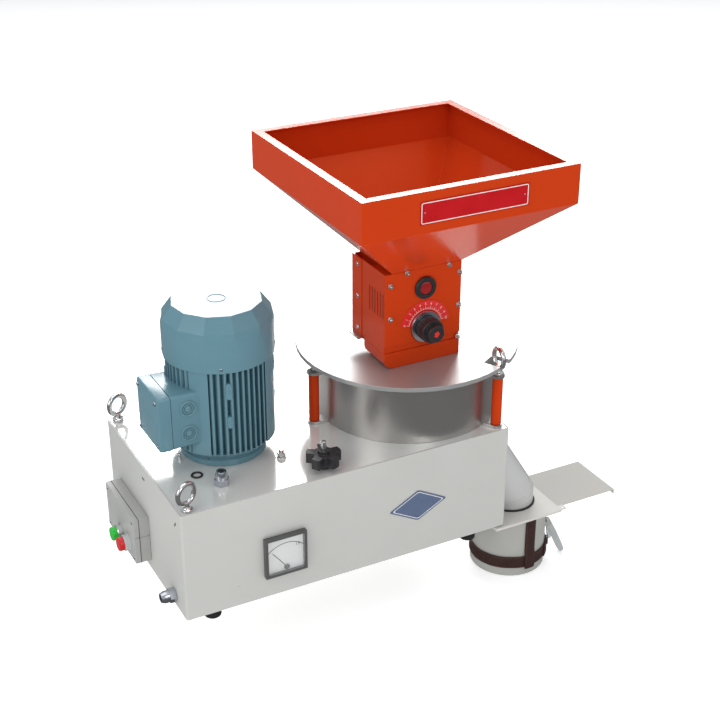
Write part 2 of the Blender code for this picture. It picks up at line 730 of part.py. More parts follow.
def build_stones():
    shape = tube(STONE_EYE_RADIUS, STONE_RADIUS, BED_UNDERSIDE, COVER_UNDERSIDE - GAP, SMALL_FLATS)
    bed = add_piece("bed_stone", shape, STONE, 0.9, at=(MILL_X, 0, 0), smooth=True)
    cut_furrows(bed, BED_UNDERSIDE, -1)
    shape = tube(SPINDLE_NOSE_RADIUS + GAP, STONE_RADIUS, RUNNER_UNDERSIDE, RUNNER_TOP, SMALL_FLATS)
    runner = add_piece("runner_stone", shape, STONE, 0.9, at=(MILL_X, 0, 0), smooth=True)
    cut_furrows(runner, RUNNER_TOP, 1)


def build_spindle():
    hub_top = RUNNER_UNDERSIDE - GAP
    hub_foot = hub_top - SPINDLE_HUB_THICKNESS
    profile = [(SPINDLE_RADIUS, PULLEY_FOOT), (SPINDLE_RADIUS, hub_foot), (SPINDLE_HUB_RADIUS, hub_foot)]
    profile += [(SPINDLE_HUB_RADIUS, hub_top), (SPINDLE_NOSE_RADIUS, hub_top)]
    profile += [(SPINDLE_NOSE_RADIUS, hub_top + SPINDLE_NOSE_HEIGHT)]
    profile += [(SPINDLE_RADIUS, hub_top + SPINDLE_NOSE_HEIGHT + LUG_MARGIN)]
    shape = turned(profile, FINE_FLATS)
    add_piece("grinding_spindle", shape, CAST_GREY, 0.4, 1.0, (MILL_X, 0, 0), smooth=True)
    bore = SPINDLE_RADIUS + GAP
    top = hub_foot - GAP
    flange_top = DECK_UNDERSIDE - GAP
    foot = DECK_UNDERSIDE - BEARING_DEPTH
    flange_foot = flange_top - BEARING_FLANGE_THICKNESS
    profile = [(bore, top), (bore, foot), (BEARING_RADIUS, foot), (BEARING_RADIUS, flange_foot)]
    profile += [(BEARING_FLANGE_RADIUS, flange_foot), (BEARING_FLANGE_RADIUS, flange_top)]
    profile += [(BEARING_RADIUS, flange_top), (BEARING_RADIUS, top)]
    shape = turned(profile, SMALL_FLATS, closed=True)
    add_piece("spindle_bearing", shape, CAST_GREY, 0.5, 0.6, (MILL_X, 0, 0), smooth=True)


# Belt drive

def pulley_profile(radius, bore):
    middle = PULLEY_TOP - PULLEY_WIDTH / 2
    seat = radius - BELT_THICKNESS - RUNNING_GAP
    mouth_half = BELT_TOP_WIDTH / 2 + GAP
    seat_half = BELT_BOTTOM_WIDTH / 2 + GAP
    profile = [(bore, PULLEY_FOOT), (radius, PULLEY_FOOT), (radius, middle - mouth_half)]
    profile += [(seat, middle - seat_half), (seat, middle + seat_half)]
    return profile + [(radius, middle + mouth_half), (radius, PULLEY_TOP), (bore, PULLEY_TOP)]


def belt_outline(inset, steps=BELT_ARC_STEPS):
    # Two straight runs and two arcs round the pulleys, inset inward from the belt's outer face.
    mill = MILL_PULLEY_RADIUS - inset
    motor = MOTOR_PULLEY_RADIUS - inset
    lean = math.degrees(math.asin((MILL_PULLEY_RADIUS - MOTOR_PULLEY_RADIUS) / (MILL_X - MOTOR_X)))
    outline = arc(mill, -90 - lean, 90 + lean, steps, (MILL_X, 0))
    return outline + arc(motor, 90 + lean, 270 - lean, steps, (MOTOR_X, 0))


def build_belt_drive():
    shape = turned(pulley_profile(MILL_PULLEY_RADIUS, SPINDLE_RADIUS + GAP), SMALL_FLATS, closed=True)
    add_piece("mill_pulley", shape, CAST_GREY, 0.45, 0.8, (MILL_X, 0, 0), smooth=True)
    shape = turned(pulley_profile(MOTOR_PULLEY_RADIUS, SHAFT_RADIUS + GAP), SMALL_FLATS, closed=True)
    add_piece("motor_pulley", shape, CAST_GREY, 0.45, 0.8, (MOTOR_X, 0, 0), smooth=True)
    middle = PULLEY_TOP - PULLEY_WIDTH / 2
    outer = belt_outline(RUNNING_GAP)
    inner = belt_outline(RUNNING_GAP + BELT_THICKNESS - 2 * GAP)
    wide = BELT_TOP_WIDTH / 2 - 2 * GAP
    narrow = BELT_BOTTOM_WIDTH / 2 - 2 * GAP
    rings = [at_height(outer, middle - wide), at_height(outer, middle + wide)]
    rings += [at_height(inner, middle + narrow), at_height(inner, middle - narrow)]
    add_piece("drive_belt", lofted(rings, closed=True), BLACK, 0.8)


# Motor

def fin_outline():
    # Four groups of parallel fins with a smooth pad on each diagonal, all inside one circle.
    half = FIN_THICKNESS / 2
    last = (FIN_COUNT - 1) / 2 * FIN_PITCH
    pad_edge = last + FIN_PITCH / 2
    side = []
    for i in range(FIN_COUNT):
        offset = -last + i * FIN_PITCH
        low = offset - half
        high = offset + half
        corners = [(FRAME_CORE_RADIUS, low), (FRAME_RADIUS, low)]
        corners += [(FRAME_RADIUS, high), (FRAME_CORE_RADIUS, high)]
        for reach, edge in corners:
            side.append(Vector((math.sqrt(reach ** 2 - edge ** 2), edge)))
    corner = math.degrees(math.asin(pad_edge / FRAME_RADIUS))
    foot = Vector((math.sqrt(FRAME_CORE_RADIUS ** 2 - pad_edge ** 2), pad_edge))
    side += [foot] + arc(FRAME_RADIUS, corner, 90 - corner, SHORT_ARC_STEPS) + [Vector((foot.y, foot.x))]
    outline = []
    for quarter in range(4):
        turn = Matrix.Rotation(math.radians(90 * quarter), 2)
        outline += [turn @ point for point in side]
    return outline


def build_motor_body():
    low = BASE_HEIGHT + GAP
    bore = SHAFT_RADIUS + GAP
    web = SHIELD_HEIGHT / 3
    profile = [(bore, DECK_UNDERSIDE), (SPIGOT_RADIUS, DECK_UNDERSIDE), (SPIGOT_RADIUS, low)]
    profile += [(SHIELD_FOOT_RADIUS, low), (SHIELD_FOOT_RADIUS, low + web)]
    profile += [(SHIELD_WAIST_RADIUS, low + web + SHIELD_STEP)]
    profile += [(FRAME_CORE_RADIUS + FIN_THICKNESS, low + 2 * web + SHIELD_STEP)]
    profile += [(FRAME_RADIUS - FIN_THICKNESS, SHIELD_TOP), (bore, SHIELD_TOP)]
    shape = turned(profile, MEDIUM_FLATS, closed=True)
    add_piece("motor_end_shield", shape, MOTOR_BLUE, 0.4, at=(MOTOR_X, 0, 0), smooth=True)
    shape = extruded(fin_outline(), FRAME_FOOT, FRAME_TOP)
    frame = add_piece("motor_frame", shape, MOTOR_BLUE, 0.4, at=(MOTOR_X, 0, 0))
    rotor_space = circle(FRAME_BORE_RADIUS, SMALL_FLATS)
    bore_tool = extruded(rotor_space, FRAME_FOOT - FIN_PITCH, FRAME_TOP + FIN_PITCH)
    cut(frame, bore_tool, (MOTOR_X, 0, 0))


def build_fan_cowl():
    count = 2 * COWL_FACETS
    phase = math.radians(COWL_TURN)
    shoulder = COWL_TOP - COWL_CHAMFER
    inner = COWL_RADIUS - COWL_SHEET
    flat = COWL_RADIUS * math.cos(math.pi / COWL_FACETS) - COWL_SHEET
    top_flat = COWL_TOP_RADIUS * math.cos(math.pi / COWL_FACETS) - COWL_SHEET
    lower = shoulder - COWL_CHAMFER / 2
    round_wall = circle(COWL_RADIUS, count, phase)
    rings = [at_height(circle(inner, count, phase), COWL_FOOT)]
    rings += [at_height(round_wall, COWL_FOOT), at_height(round_wall, lower)]
    rings += [at_height(polygon_ring(COWL_RADIUS, COWL_FACETS, count, phase), shoulder)]
    rings += [at_height(polygon_ring(COWL_TOP_RADIUS, COWL_FACETS, count, phase), COWL_TOP)]
    outside = rings[1:]
    inside = [at_height(circle(top_flat, count, phase), COWL_TOP - COWL_SHEET)]
    inside += [at_height(circle(flat, count, phase), shoulder - COWL_SHEET)]
    inside += [at_height(circle(flat, count, phase), lower), rings[0]]
    shape = cowl_shell(outside, inside)
    add_piece("fan_cowl", shape, MOTOR_BLUE, 0.35, at=(MOTOR_X, 0, 0))


def cowl_shell(outside, inside):
    # A cup: the outside from rim to flat top, the inside from ceiling to rim.
    shape = bmesh.new()
    outer = [[shape.verts.new(point) for point in ring] for ring in outside]
    inner = [[shape.verts.new(point) for point in ring] for ring in inside]
    rows = [inner[-1]] + outer
    walls = list(zip(rows, rows[1:])) + list(zip(inner, inner[1:]))
    count = len(inner[0])
    for lower, upper in walls:
        for i in range(count):
            j = (i + 1) % count
            shape.faces.new((lower[i], lower[j], upper[j], upper[i]))
    shape.faces.new(outer[-1])
    shape.faces.new(list(reversed(inner[0])))
    return shape


def fan_outline():
    outline = []
    edge = math.asin(FAN_BLADE_THICKNESS / 2 / FAN_HUB_RADIUS)
    half = math.degrees(edge)
    for i in range(FAN_BLADES):
        middle = 360 * i / FAN_BLADES
        turn = Matrix.Rotation(math.radians(middle), 2)
        outline += arc(FAN_HUB_RADIUS, middle - 180 / FAN_BLADES, middle - half, 2)
        for side in (-1, 1):
            outline.append(turn @ Vector((FAN_RADIUS, side * FAN_BLADE_THICKNESS / 2)))
        outline.append(turn @ Vector((FAN_HUB_RADIUS * math.cos(edge), FAN_BLADE_THICKNESS / 2)))
    return outline


def build_motor_inside():
    rotor_low = FRAME_FOOT + ROTOR_FLOOR
    rotor_high = rotor_low + ROTOR_LENGTH
    fan_low = FRAME_TOP + ROTOR_FLOOR
    profile = [(SHAFT_RADIUS, PULLEY_FOOT), (SHAFT_RADIUS, rotor_low), (ROTOR_RADIUS, rotor_low)]
    profile += [(ROTOR_RADIUS, rotor_high), (SHAFT_RADIUS, rotor_high), (SHAFT_RADIUS, fan_low + FAN_HEIGHT)]
    shape = turned(profile, FINE_FLATS)
    add_piece("motor_shaft", shape, CAST_GREY, 0.35, 1.0, (MOTOR_X, 0, 0), smooth=True)
    shape = extruded(fan_outline(), fan_low, fan_low + FAN_HEIGHT)
    fan = add_piece("cooling_fan", shape, BLACK, 0.6, at=(MOTOR_X, 0, 0))
    bore = extruded(circle(SHAFT_RADIUS + GAP, SMALL_FLATS), fan_low - FAN_HEIGHT, fan_low + 2 * FAN_HEIGHT)
    cut(fan, bore, (MOTOR_X, 0, 0))


def terminal_outline():
    # The box's end face in Y and Z, with its lower rear corner cut off.
    points = rectangle(TERMINAL_FRONT, TERMINAL_REAR, TERMINAL_BOTTOM, TERMINAL_TOP)
    points[1:2] = [Vector((TERMINAL_REAR - TERMINAL_CHAMFER, TERMINAL_BOTTOM)),
                   Vector((TERMINAL_REAR, TERMINAL_BOTTOM + TERMINAL_CHAMFER))]
    return points


def terminal_prism(near, far):
    rings = []
    for x in (near, far):
        rings.append([Vector((x, point.x, point.y)) for point in terminal_outline()])
    return lofted(rings)


def build_terminal_box():
    face = MOTOR_X - TERMINAL_BODY_REACH
    body = add_piece("terminal_box", terminal_prism(face, MOTOR_X - FRAME_CORE_RADIUS), MOTOR_BLUE, 0.4)
    clear = circle(FRAME_RADIUS + GAP, LARGE_FLATS, math.pi / LARGE_FLATS)
    cut(body, extruded(clear, TERMINAL_BOTTOM - FIN_PITCH, TERMINAL_TOP + FIN_PITCH), (MOTOR_X, 0, 0))
    lid = terminal_prism(face - GAP - TERMINAL_LID_DEPTH, face - GAP)
    add_piece("terminal_box_lid", lid, MOTOR_BLUE, 0.4)


# Feeder

def build_feeder_bracket():
    rear = FEEDER_FRONT + BRACKET_DEPTH
    low = COVER_TOP + GAP
    high = FEEDER_FOOT - GAP
    corner = arc(BRACKET_CORNER, 180, 270, ARC_STEPS, (FEEDER_LEFT + BRACKET_CORNER, low + BRACKET_CORNER))
    face = corner + [Vector((FEEDER_RIGHT, low)), Vector((FEEDER_RIGHT, high)), Vector((FEEDER_LEFT, high))]
    rings = [[Vector((point.x, y, point.y)) for point in face] for y in (FEEDER_FRONT, rear)]
    add_piece("feeder_bracket", lofted(rings), ORANGE, 0.25)


def build_throat():
    tray_top = FEEDER_FOOT - GAP - SLIDE_THICKNESS - GAP
    tray_foot = tray_top - TRAY_THICKNESS
    inner = THROAT_RADIUS - THROAT_WALL
    left = FEEDER_LEFT + TRAY_THICKNESS
    shape = block(left, MILL_X + TRAY_WIDTH / 2, -TRAY_WIDTH / 2, TRAY_WIDTH / 2, tray_foot, tray_top)
    throat = add_piece("feed_throat", shape, ORANGE, 0.3)
    outlet = COVER_UNDERSIDE - THROAT_DROP
    pipe = extruded(circle(THROAT_RADIUS, SMALL_FLATS), outlet, tray_top - TRAY_THICKNESS / 2)
    join(throat, pipe, (MILL_X, 0, 0))
    bore = extruded(circle(inner, SMALL_FLATS), outlet - TRAY_THICKNESS, tray_top + TRAY_THICKNESS)
    cut(throat, bore, (MILL_X, 0, 0))


def build_shut_off_slide():
    low = FEEDER_FOOT - GAP - SLIDE_THICKNESS
    right = MILL_X - THROAT_RADIUS + THROAT_WALL - GAP
    half = SLIDE_WIDTH / 2
    shape = block(FEEDER_LEFT - SLIDE_TAB - right, 0, -half, half, low, FEEDER_FOOT - GAP)
    add_piece("shut_off_slide", shape, ZINC, 0.3, 1.0, (right, 0, 0))


def feeder_outline():
    split = FEEDER_REAR - FLANGE_STRIP_DEPTH
    proud = FEEDER_LEFT - FLANGE_STRIP_PROUD
    front = FEEDER_FRONT + FEEDER_SHEET + GAP
    corners = [(FEEDER_LEFT, front), (FEEDER_RIGHT, front), (FEEDER_RIGHT, FEEDER_REAR)]
    corners += [(proud, FEEDER_REAR), (proud, split), (FEEDER_LEFT, split)]
    return [Vector(corner) for corner in corners]


def build_feeder_housing():
    housing = add_piece("feeder_housing", extruded(feeder_outline(), FEEDER_FOOT, FEEDER_TOP), ORANGE, 0.22)
    left = FEEDER_LEFT + FEEDER_SHEET
    right = FEEDER_RIGHT - FEEDER_SHEET
    floor = FEEDER_FOOT + FEEDER_SHEET
    partition = FEEDER_FRONT + PARTITION_FROM_FRONT
    grain_front = partition + FEEDER_SHEET
    above = FEEDER_TOP + FEEDER_SHEET
    cut(housing, block(left, right, grain_front, FEEDER_REAR - FEEDER_SHEET, floor, above))
    ahead = FEEDER_FRONT - FEEDER_SHEET
    cut(housing, block(left, right, ahead, partition, FEEDER_FOOT + COVER_LIP, FEEDER_TOP - FEEDER_SHEET))
    throat = circle(THROAT_RADIUS - THROAT_WALL, SMALL_FLATS)
    cut(housing, extruded(throat, FEEDER_FOOT - FEEDER_SHEET, floor + FEEDER_SHEET), (MILL_X, 0, 0))
    shaft_hole = extruded(circle(DRUM_SHAFT_RADIUS + GAP, FINE_FLATS), -2 * FEEDER_SHEET, FEEDER_SHEET)
    cut(housing, shaft_hole, (MILL_X, partition, FEEDER_FOOT + DRUM_HEIGHT), FACE_FRONT)
    for i in range(LOUVRE_COUNT):
        y = FEEDER_FRONT + LOUVRE_FIRST + i * LOUVRE_PITCH
        low = FEEDER_FOOT + LOUVRE_CENTRE - LOUVRE_HEIGHT / 2
        high = low + LOUVRE_HEIGHT
        cut(housing, block(FEEDER_LEFT - FEEDER_SHEET, left + FEEDER_SHEET, y, y + LOUVRE_WIDTH, low, high))


def knob_place():
    return FEEDER_LEFT + KNOB_FROM_LEFT, COVER_TOP + KNOB_ABOVE_COVER


def switch_place():
    return FEEDER_LEFT + SWITCH_FROM_LEFT, COVER_TOP + SWITCH_ABOVE_COVER


def build_feeder_cover():
    low = FEEDER_FOOT + COVER_LIP
    shape = block(FEEDER_LEFT, FEEDER_RIGHT, FEEDER_FRONT, FEEDER_FRONT + FEEDER_SHEET, low, FEEDER_TOP)
    cover = add_piece("feeder_front_cover", shape, ORANGE, 0.22)
    for (x, z), radius in ((knob_place(), KNOB_STEM_RADIUS), (switch_place(), SWITCH_BODY_RADIUS)):
        hole = extruded(circle(radius + GAP, SMALL_FLATS), -2 * FEEDER_SHEET, FEEDER_SHEET)
        cut(cover, hole, (x, FEEDER_FRONT, z), FACE_FRONT)


def drum_outline():
    outline = []
    for i in range(DRUM_FLUTES):
        middle = 360 * i / DRUM_FLUTES
        width = 360 / DRUM_FLUTES / 4
        outline += arc(DRUM_RADIUS, middle - width, middle + width, 2)
        gap_middle = middle + 180 / DRUM_FLUTES
        outline += arc(DRUM_CORE_RADIUS, gap_middle - width / 2, gap_middle + width / 2, 1)
    return outline


def build_feed_drum():
    partition = FEEDER_FRONT + PARTITION_FROM_FRONT
    front = partition + FEEDER_SHEET + GAP
    rear = FEEDER_REAR - FEEDER_SHEET - GAP
    z = FEEDER_FOOT + DRUM_HEIGHT
    shape = extruded(drum_outline(), 0, rear - front)
    drum = add_piece("feed_drum", shape, ZINC, 0.4, 0.9, (MILL_X, rear, z), FACE_FRONT)
    shaft_end = partition - GAP - GEARMOTOR_LENGTH / 2
    shaft = extruded(circle(DRUM_SHAFT_RADIUS, FINE_FLATS), (rear - front) / 2, rear - shaft_end)
    join(drum, shaft, (MILL_X, rear, z), FACE_FRONT)
    gearmotor_rear = partition - GAP
    shape = extruded(circle(GEARMOTOR_RADIUS, SMALL_FLATS), 0, GEARMOTOR_LENGTH)
    place = (MILL_X, gearmotor_rear, z)
    gearmotor = add_piece("feeder_gearmotor", shape, CAST_GREY, 0.5, 0.5, place, FACE_FRONT, True)
    depth = GEARMOTOR_LENGTH / 2 + 2 * GAP
    socket = extruded(circle(DRUM_SHAFT_RADIUS + GAP, FINE_FLATS), -GEARMOTOR_LENGTH, depth)
    cut(gearmotor, socket, place, FACE_FRONT)


def build_dial():
    outline = arc(DIAL_OUTER_RADIUS, DIAL_START, DIAL_END, FINE_FLATS)
    outline += arc(DIAL_INNER_RADIUS, DIAL_END, DIAL_START, TINY_FLATS)
    x, z = knob_place()
    place = (x, FEEDER_FRONT - GAP, z)
    add_piece("dial_plate", extruded(outline, 0, DIAL_THICKNESS), RED, 0.3, at=place, turn=FACE_FRONT)


def build_speed_knob():
    body = KNOB_SKIRT_THICKNESS + KNOB_BODY_LENGTH
    bevel = KNOB_SKIRT_THICKNESS / 4
    profile = [(KNOB_STEM_RADIUS, -KNOB_STEM_LENGTH), (KNOB_STEM_RADIUS, 0), (KNOB_SKIRT_RADIUS, 0)]
    profile += [(KNOB_SKIRT_RADIUS - bevel, KNOB_SKIRT_THICKNESS), (KNOB_BODY_RADIUS, KNOB_SKIRT_THICKNESS)]
    profile += [(KNOB_BODY_RADIUS, body - bevel), (KNOB_BODY_RADIUS - bevel, body), (KNOB_CAP_RADIUS, body)]
    end = body + KNOB_CAP_LENGTH
    profile += [(KNOB_CAP_RADIUS, end - bevel), (KNOB_CAP_RADIUS - bevel, end)]
    x, z = knob_place()
    place = (x, FEEDER_FRONT - GAP, z)
    add_piece("speed_knob", turned(profile, SMALL_FLATS), BLACK, 0.4, at=place, turn=FACE_FRONT, smooth=True)


def build_feeder_switch():
    x, z = switch_place()
    place = (x, FEEDER_FRONT - GAP, z)
    bevel = SWITCH_RING_DEPTH / 3
    bore = SWITCH_WELL_RADIUS
    profile = [(bore, -SWITCH_BODY_DEPTH), (SWITCH_BODY_RADIUS, -SWITCH_BODY_DEPTH), (SWITCH_BODY_RADIUS, 0)]
    profile += [(SWITCH_RING_RADIUS, 0), (SWITCH_RING_RADIUS, SWITCH_RING_DEPTH - bevel)]
    profile += [(SWITCH_RING_RADIUS - bevel, SWITCH_RING_DEPTH), (bore, SWITCH_RING_DEPTH)]
    ring = turned(profile, SMALL_FLATS, closed=True)
    add_piece("feeder_switch_ring", ring, BLACK, 0.35, at=place, turn=FACE_FRONT, smooth=True)
    lens = bore - GAP
    crown = SWITCH_RING_DEPTH / 4
    profile = [(lens, SWITCH_TRAVEL - SWITCH_BODY_DEPTH), (lens, SWITCH_RING_DEPTH - crown)]
    profile += [(lens - SWITCH_CROWN_INSET, SWITCH_RING_DEPTH)]
    shape = turned(profile, SMALL_FLATS)
    add_piece("feeder_switch_lens", shape, RED, 0.2, at=place, turn=FACE_FRONT, smooth=True)


# Hopper

def hopper_corner():
    return MILL_X - HOPPER_LEFT_OF_MILL, HOPPER_FRONT


def build_hopper():
    left, front = hopper_corner()
    right = left + HOPPER_LENGTH
    rear = front + HOPPER_DEPTH
    outlet_left = FEEDER_RIGHT - HOPPER_OUTLET_WIDTH
    fold = HOPPER_FOOT + HOPPER_FUNNEL
    top = fold + HOPPER_BAND
    sheet = HOPPER_SHEET
    grain_front = FEEDER_FRONT + PARTITION_FROM_FRONT + FEEDER_SHEET
    lip = 2 * sheet
    outlet = rectangle(outlet_left + lip, FEEDER_RIGHT - lip, grain_front, FEEDER_REAR - lip)
    foot = rectangle(outlet_left, FEEDER_RIGHT, FEEDER_FRONT, FEEDER_REAR)
    inside_right = FEEDER_RIGHT - sheet
    foot_inside = rectangle(outlet_left + sheet, inside_right, FEEDER_FRONT + sheet, FEEDER_REAR - sheet)
    band = rectangle(left, right, front, rear)
    band_inside = rectangle(left + sheet, right - sheet, front + sheet, rear - sheet)
    rim = rectangle(left + HOPPER_RIM, right - HOPPER_RIM, front + HOPPER_RIM, rear - HOPPER_RIM)
    rings = [at_height(outlet, HOPPER_FOOT), at_height(foot, HOPPER_FOOT), at_height(band, fold)]
    rings += [at_height(band, top), at_height(rim, top), at_height(rim, top - sheet)]
    rings += [at_height(band_inside, top - sheet), at_height(band_inside, fold)]
    rings += [at_height(foot_inside, HOPPER_FOOT + sheet), at_height(outlet, HOPPER_FOOT + sheet)]
    add_piece("hopper", lofted(rings, closed=True), ORANGE, 0.2)


def build_name_plate():
    left, front = hopper_corner()
    x = left + NAME_PLATE_FROM_LEFT
    z = HOPPER_FOOT + HOPPER_FUNNEL + NAME_PLATE_FROM_BAND_FOOT
    near = front - GAP
    shape = block(x, x + NAME_PLATE_LENGTH, near - NAME_PLATE_THICKNESS, near, z, z + NAME_PLATE_HEIGHT)
    add_piece("name_plate", shape, RED, 0.3)


# Controls on the left end

def build_control_box():
    near = LEFT_END - GAP
    face = near - CONTROL_DEPTH
    shape = block(face, near, CONTROL_FRONT, CONTROL_REAR, CONTROL_BOTTOM, CONTROL_TOP)
    box = add_piece("control_box", shape, MID_GREY, 0.45)
    wall = CONTROL_WALL
    hollow = block(face + wall, near + wall, CONTROL_FRONT + wall, CONTROL_REAR - wall,
                   CONTROL_BOTTOM + wall, CONTROL_TOP - wall)
    cut(box, hollow)
    low = CONTROL_BOTTOM + CONTROL_GROOVE_HEIGHT
    groove = block(face - wall, near + wall, CONTROL_FRONT - wall, CONTROL_FRONT + CONTROL_GROOVE_DEPTH,
                   low, low + CONTROL_GROOVE_WIDTH)
    cut(box, groove)
    for offset in BUTTON_FROM_BOX_FRONT.values():
        hole = extruded(circle(BUTTON_STEM_RADIUS + GAP, FINE_FLATS), -2 * wall, wall)
        cut(box, hole, (face, CONTROL_FRONT + offset, BUTTON_HEIGHT), FACE_LEFT)


def build_buttons():
    face = LEFT_END - GAP - CONTROL_DEPTH
    colours = {"stop_button": RED, "start_button": GREEN}
    bevel = BUTTON_HEAD_THICKNESS / 8
    back = BUTTON_STANDOFF - BUTTON_HEAD_THICKNESS
    profile = [(BUTTON_STEM_RADIUS, back - BUTTON_STEM_LENGTH), (BUTTON_STEM_RADIUS, back)]
    profile += [(BUTTON_RADIUS, back), (BUTTON_RADIUS, BUTTON_STANDOFF - bevel)]
    profile += [(BUTTON_RADIUS - bevel, BUTTON_STANDOFF)]
    for name, offset in BUTTON_FROM_BOX_FRONT.items():
        place = (face, CONTROL_FRONT + offset, BUTTON_HEIGHT)
        shape = turned(profile, FINE_FLATS)
        add_piece(name, shape, colours[name], 0.3, at=place, turn=FACE_LEFT, smooth=True)


# Cable glands

def build_gland(name, at, turn, shank_length):
    count = GLAND_FLATS
    bore = circle(GLAND_BORE_RADIUS, count)
    shank = circle(GLAND_SHANK_RADIUS, count)
    hexagon = polygon_ring(GLAND_HEX_RADIUS, 6, count, 0.0)
    dome = circle(GLAND_DOME_RADIUS, count)
    mouth = circle((GLAND_DOME_RADIUS + GLAND_BORE_RADIUS) / 2, count)
    shoulder = (GLAND_HEX_HEIGHT + GLAND_TOTAL_HEIGHT) / 2
    rings = [at_height(bore, -shank_length), at_height(shank, -shank_length), at_height(shank, 0)]
    rings += [at_height(hexagon, 0), at_height(hexagon, GLAND_HEX_HEIGHT), at_height(dome, GLAND_HEX_HEIGHT)]
    rings += [at_height(dome, shoulder), at_height(mouth, GLAND_TOTAL_HEIGHT)]
    rings += [at_height(bore, GLAND_TOTAL_HEIGHT)]
    add_piece(name, lofted(rings, closed=True), ZINC, 0.3, 1.0, at, turn)


def build_glands():
    place = (DECK_GLAND_X, DECK_GLAND_Y, BASE_HEIGHT + GAP)
    build_gland("deck_gland", place, Matrix.Identity(4), 2 * DECK_THICKNESS)
    place = (LEFT_END - GAP, END_GLAND_Y, END_GLAND_Z)
    build_gland("end_gland", place, FACE_LEFT, 2 * BASE_WALL)


# Ammeter

def square_ring(size, count=MEDIUM_FLATS):
    # A square given by count points at equal angles, so that it lofts onto a circle.
    points = []
    for point in circle(1.0, count, math.pi / 4):
        points.append(point * (size / 2 / max(abs(point.x), abs(point.y))))
    return points


def build_ammeter():
    body = circle(METER_BODY_RADIUS, MEDIUM_FLATS, math.pi / 4)
    bezel = square_ring(METER_SIZE)
    window = square_ring(METER_WINDOW)
    well = METER_BEZEL_DEPTH - METER_WELL_DEPTH
    rings = [at_height(body, -METER_BODY_DEPTH), at_height(body, 0), at_height(bezel, 0)]
    rings += [at_height(bezel, METER_BEZEL_DEPTH), at_height(window, METER_BEZEL_DEPTH)]
    rings += [at_height(window, well)]
    place = (METER_X, FRONT - GAP, METER_Z)
    add_piece("ammeter_case", lofted(rings), BLACK, 0.4, at=place, turn=FACE_FRONT)
    pivot = (METER_X + NEEDLE_PIVOT_RIGHT, FRONT - GAP - well - GAP, METER_Z - NEEDLE_PIVOT_DROP)
    half = NEEDLE_WIDTH / 2
    hub_edge = math.degrees(math.asin(half / NEEDLE_HUB_RADIUS))
    outline = [Vector((NEEDLE_LENGTH, -half)), Vector((NEEDLE_LENGTH, half))]
    outline += arc(NEEDLE_HUB_RADIUS, hub_edge, 360 - hub_edge, TINY_FLATS)
    turn = FACE_FRONT @ Matrix.Rotation(math.radians(NEEDLE_REST), 4, "Z")
    shape = extruded(outline, 0, NEEDLE_THICKNESS)
    add_piece("ammeter_needle", shape, BLACK, 0.5, at=pivot, turn=turn)


# Star knob

def star_outline():
    outline = []
    for i in range(STAR_LOBES):
        middle = 360 * i / STAR_LOBES
        outline += arc(STAR_RADIUS, middle - STAR_LOBE_SPREAD, middle + STAR_LOBE_SPREAD, SHORT_ARC_STEPS)
        valley = middle + 180 / STAR_LOBES
        outline += arc(STAR_WAIST_RADIUS, valley - STAR_VALLEY_SPREAD, valley + STAR_VALLEY_SPREAD, 2)
    return outline


def build_star_knob():
    low = BASE_HEIGHT + STAR_STANDOFF
    high = low + STAR_HEIGHT
    shape = extruded(star_outline(), low, high)
    knob = add_piece("star_knob", shape, BLACK, 0.45, at=(STAR_X, STAR_Y, 0))
    hub = extruded(circle(STAR_HUB_RADIUS, FINE_FLATS), BASE_HEIGHT + GAP, high + STAR_HUB_HEIGHT)
    join(knob, hub, (STAR_X, STAR_Y, 0))
    bore = extruded(circle(SCREW_RADIUS + GAP, FINE_FLATS), BASE_HEIGHT, high + STAR_HEIGHT)
    cut(knob, bore, (STAR_X, STAR_Y, 0))
    top = BASE_HEIGHT + SCREW_TOP
    bevel = SCREW_RADIUS / 4
    profile = [(SCREW_RADIUS, top - SCREW_LENGTH), (SCREW_RADIUS, top - bevel), (SCREW_RADIUS - bevel, top)]
    shape = turned(profile, FINE_FLATS)
    add_piece("adjusting_screw", shape, CHROME, 0.2, 1.0, (STAR_X, STAR_Y, 0), smooth=True)


# Outlet

def build_duct():
    count = MEDIUM_FLATS
    inner_radius = DUCT_RADIUS - DUCT_WALL
    foot = GATE_TOP + GAP
    rings = []
    for radius in (DUCT_RADIUS, inner_radius):
        lower = [Vector((point.x, point.y, foot)) for point in mitre_ring(radius, count)]
        upper = slanted_ring(radius, MILL_FLOOR + MILL_WALL, count)
        run = [lower, mitre_ring(radius, count), upper]
        rings += run if radius == DUCT_RADIUS else list(reversed(run))
    add_piece("outlet_duct", lofted(rings, closed=True), PALE_GREY, 0.35, smooth=True)


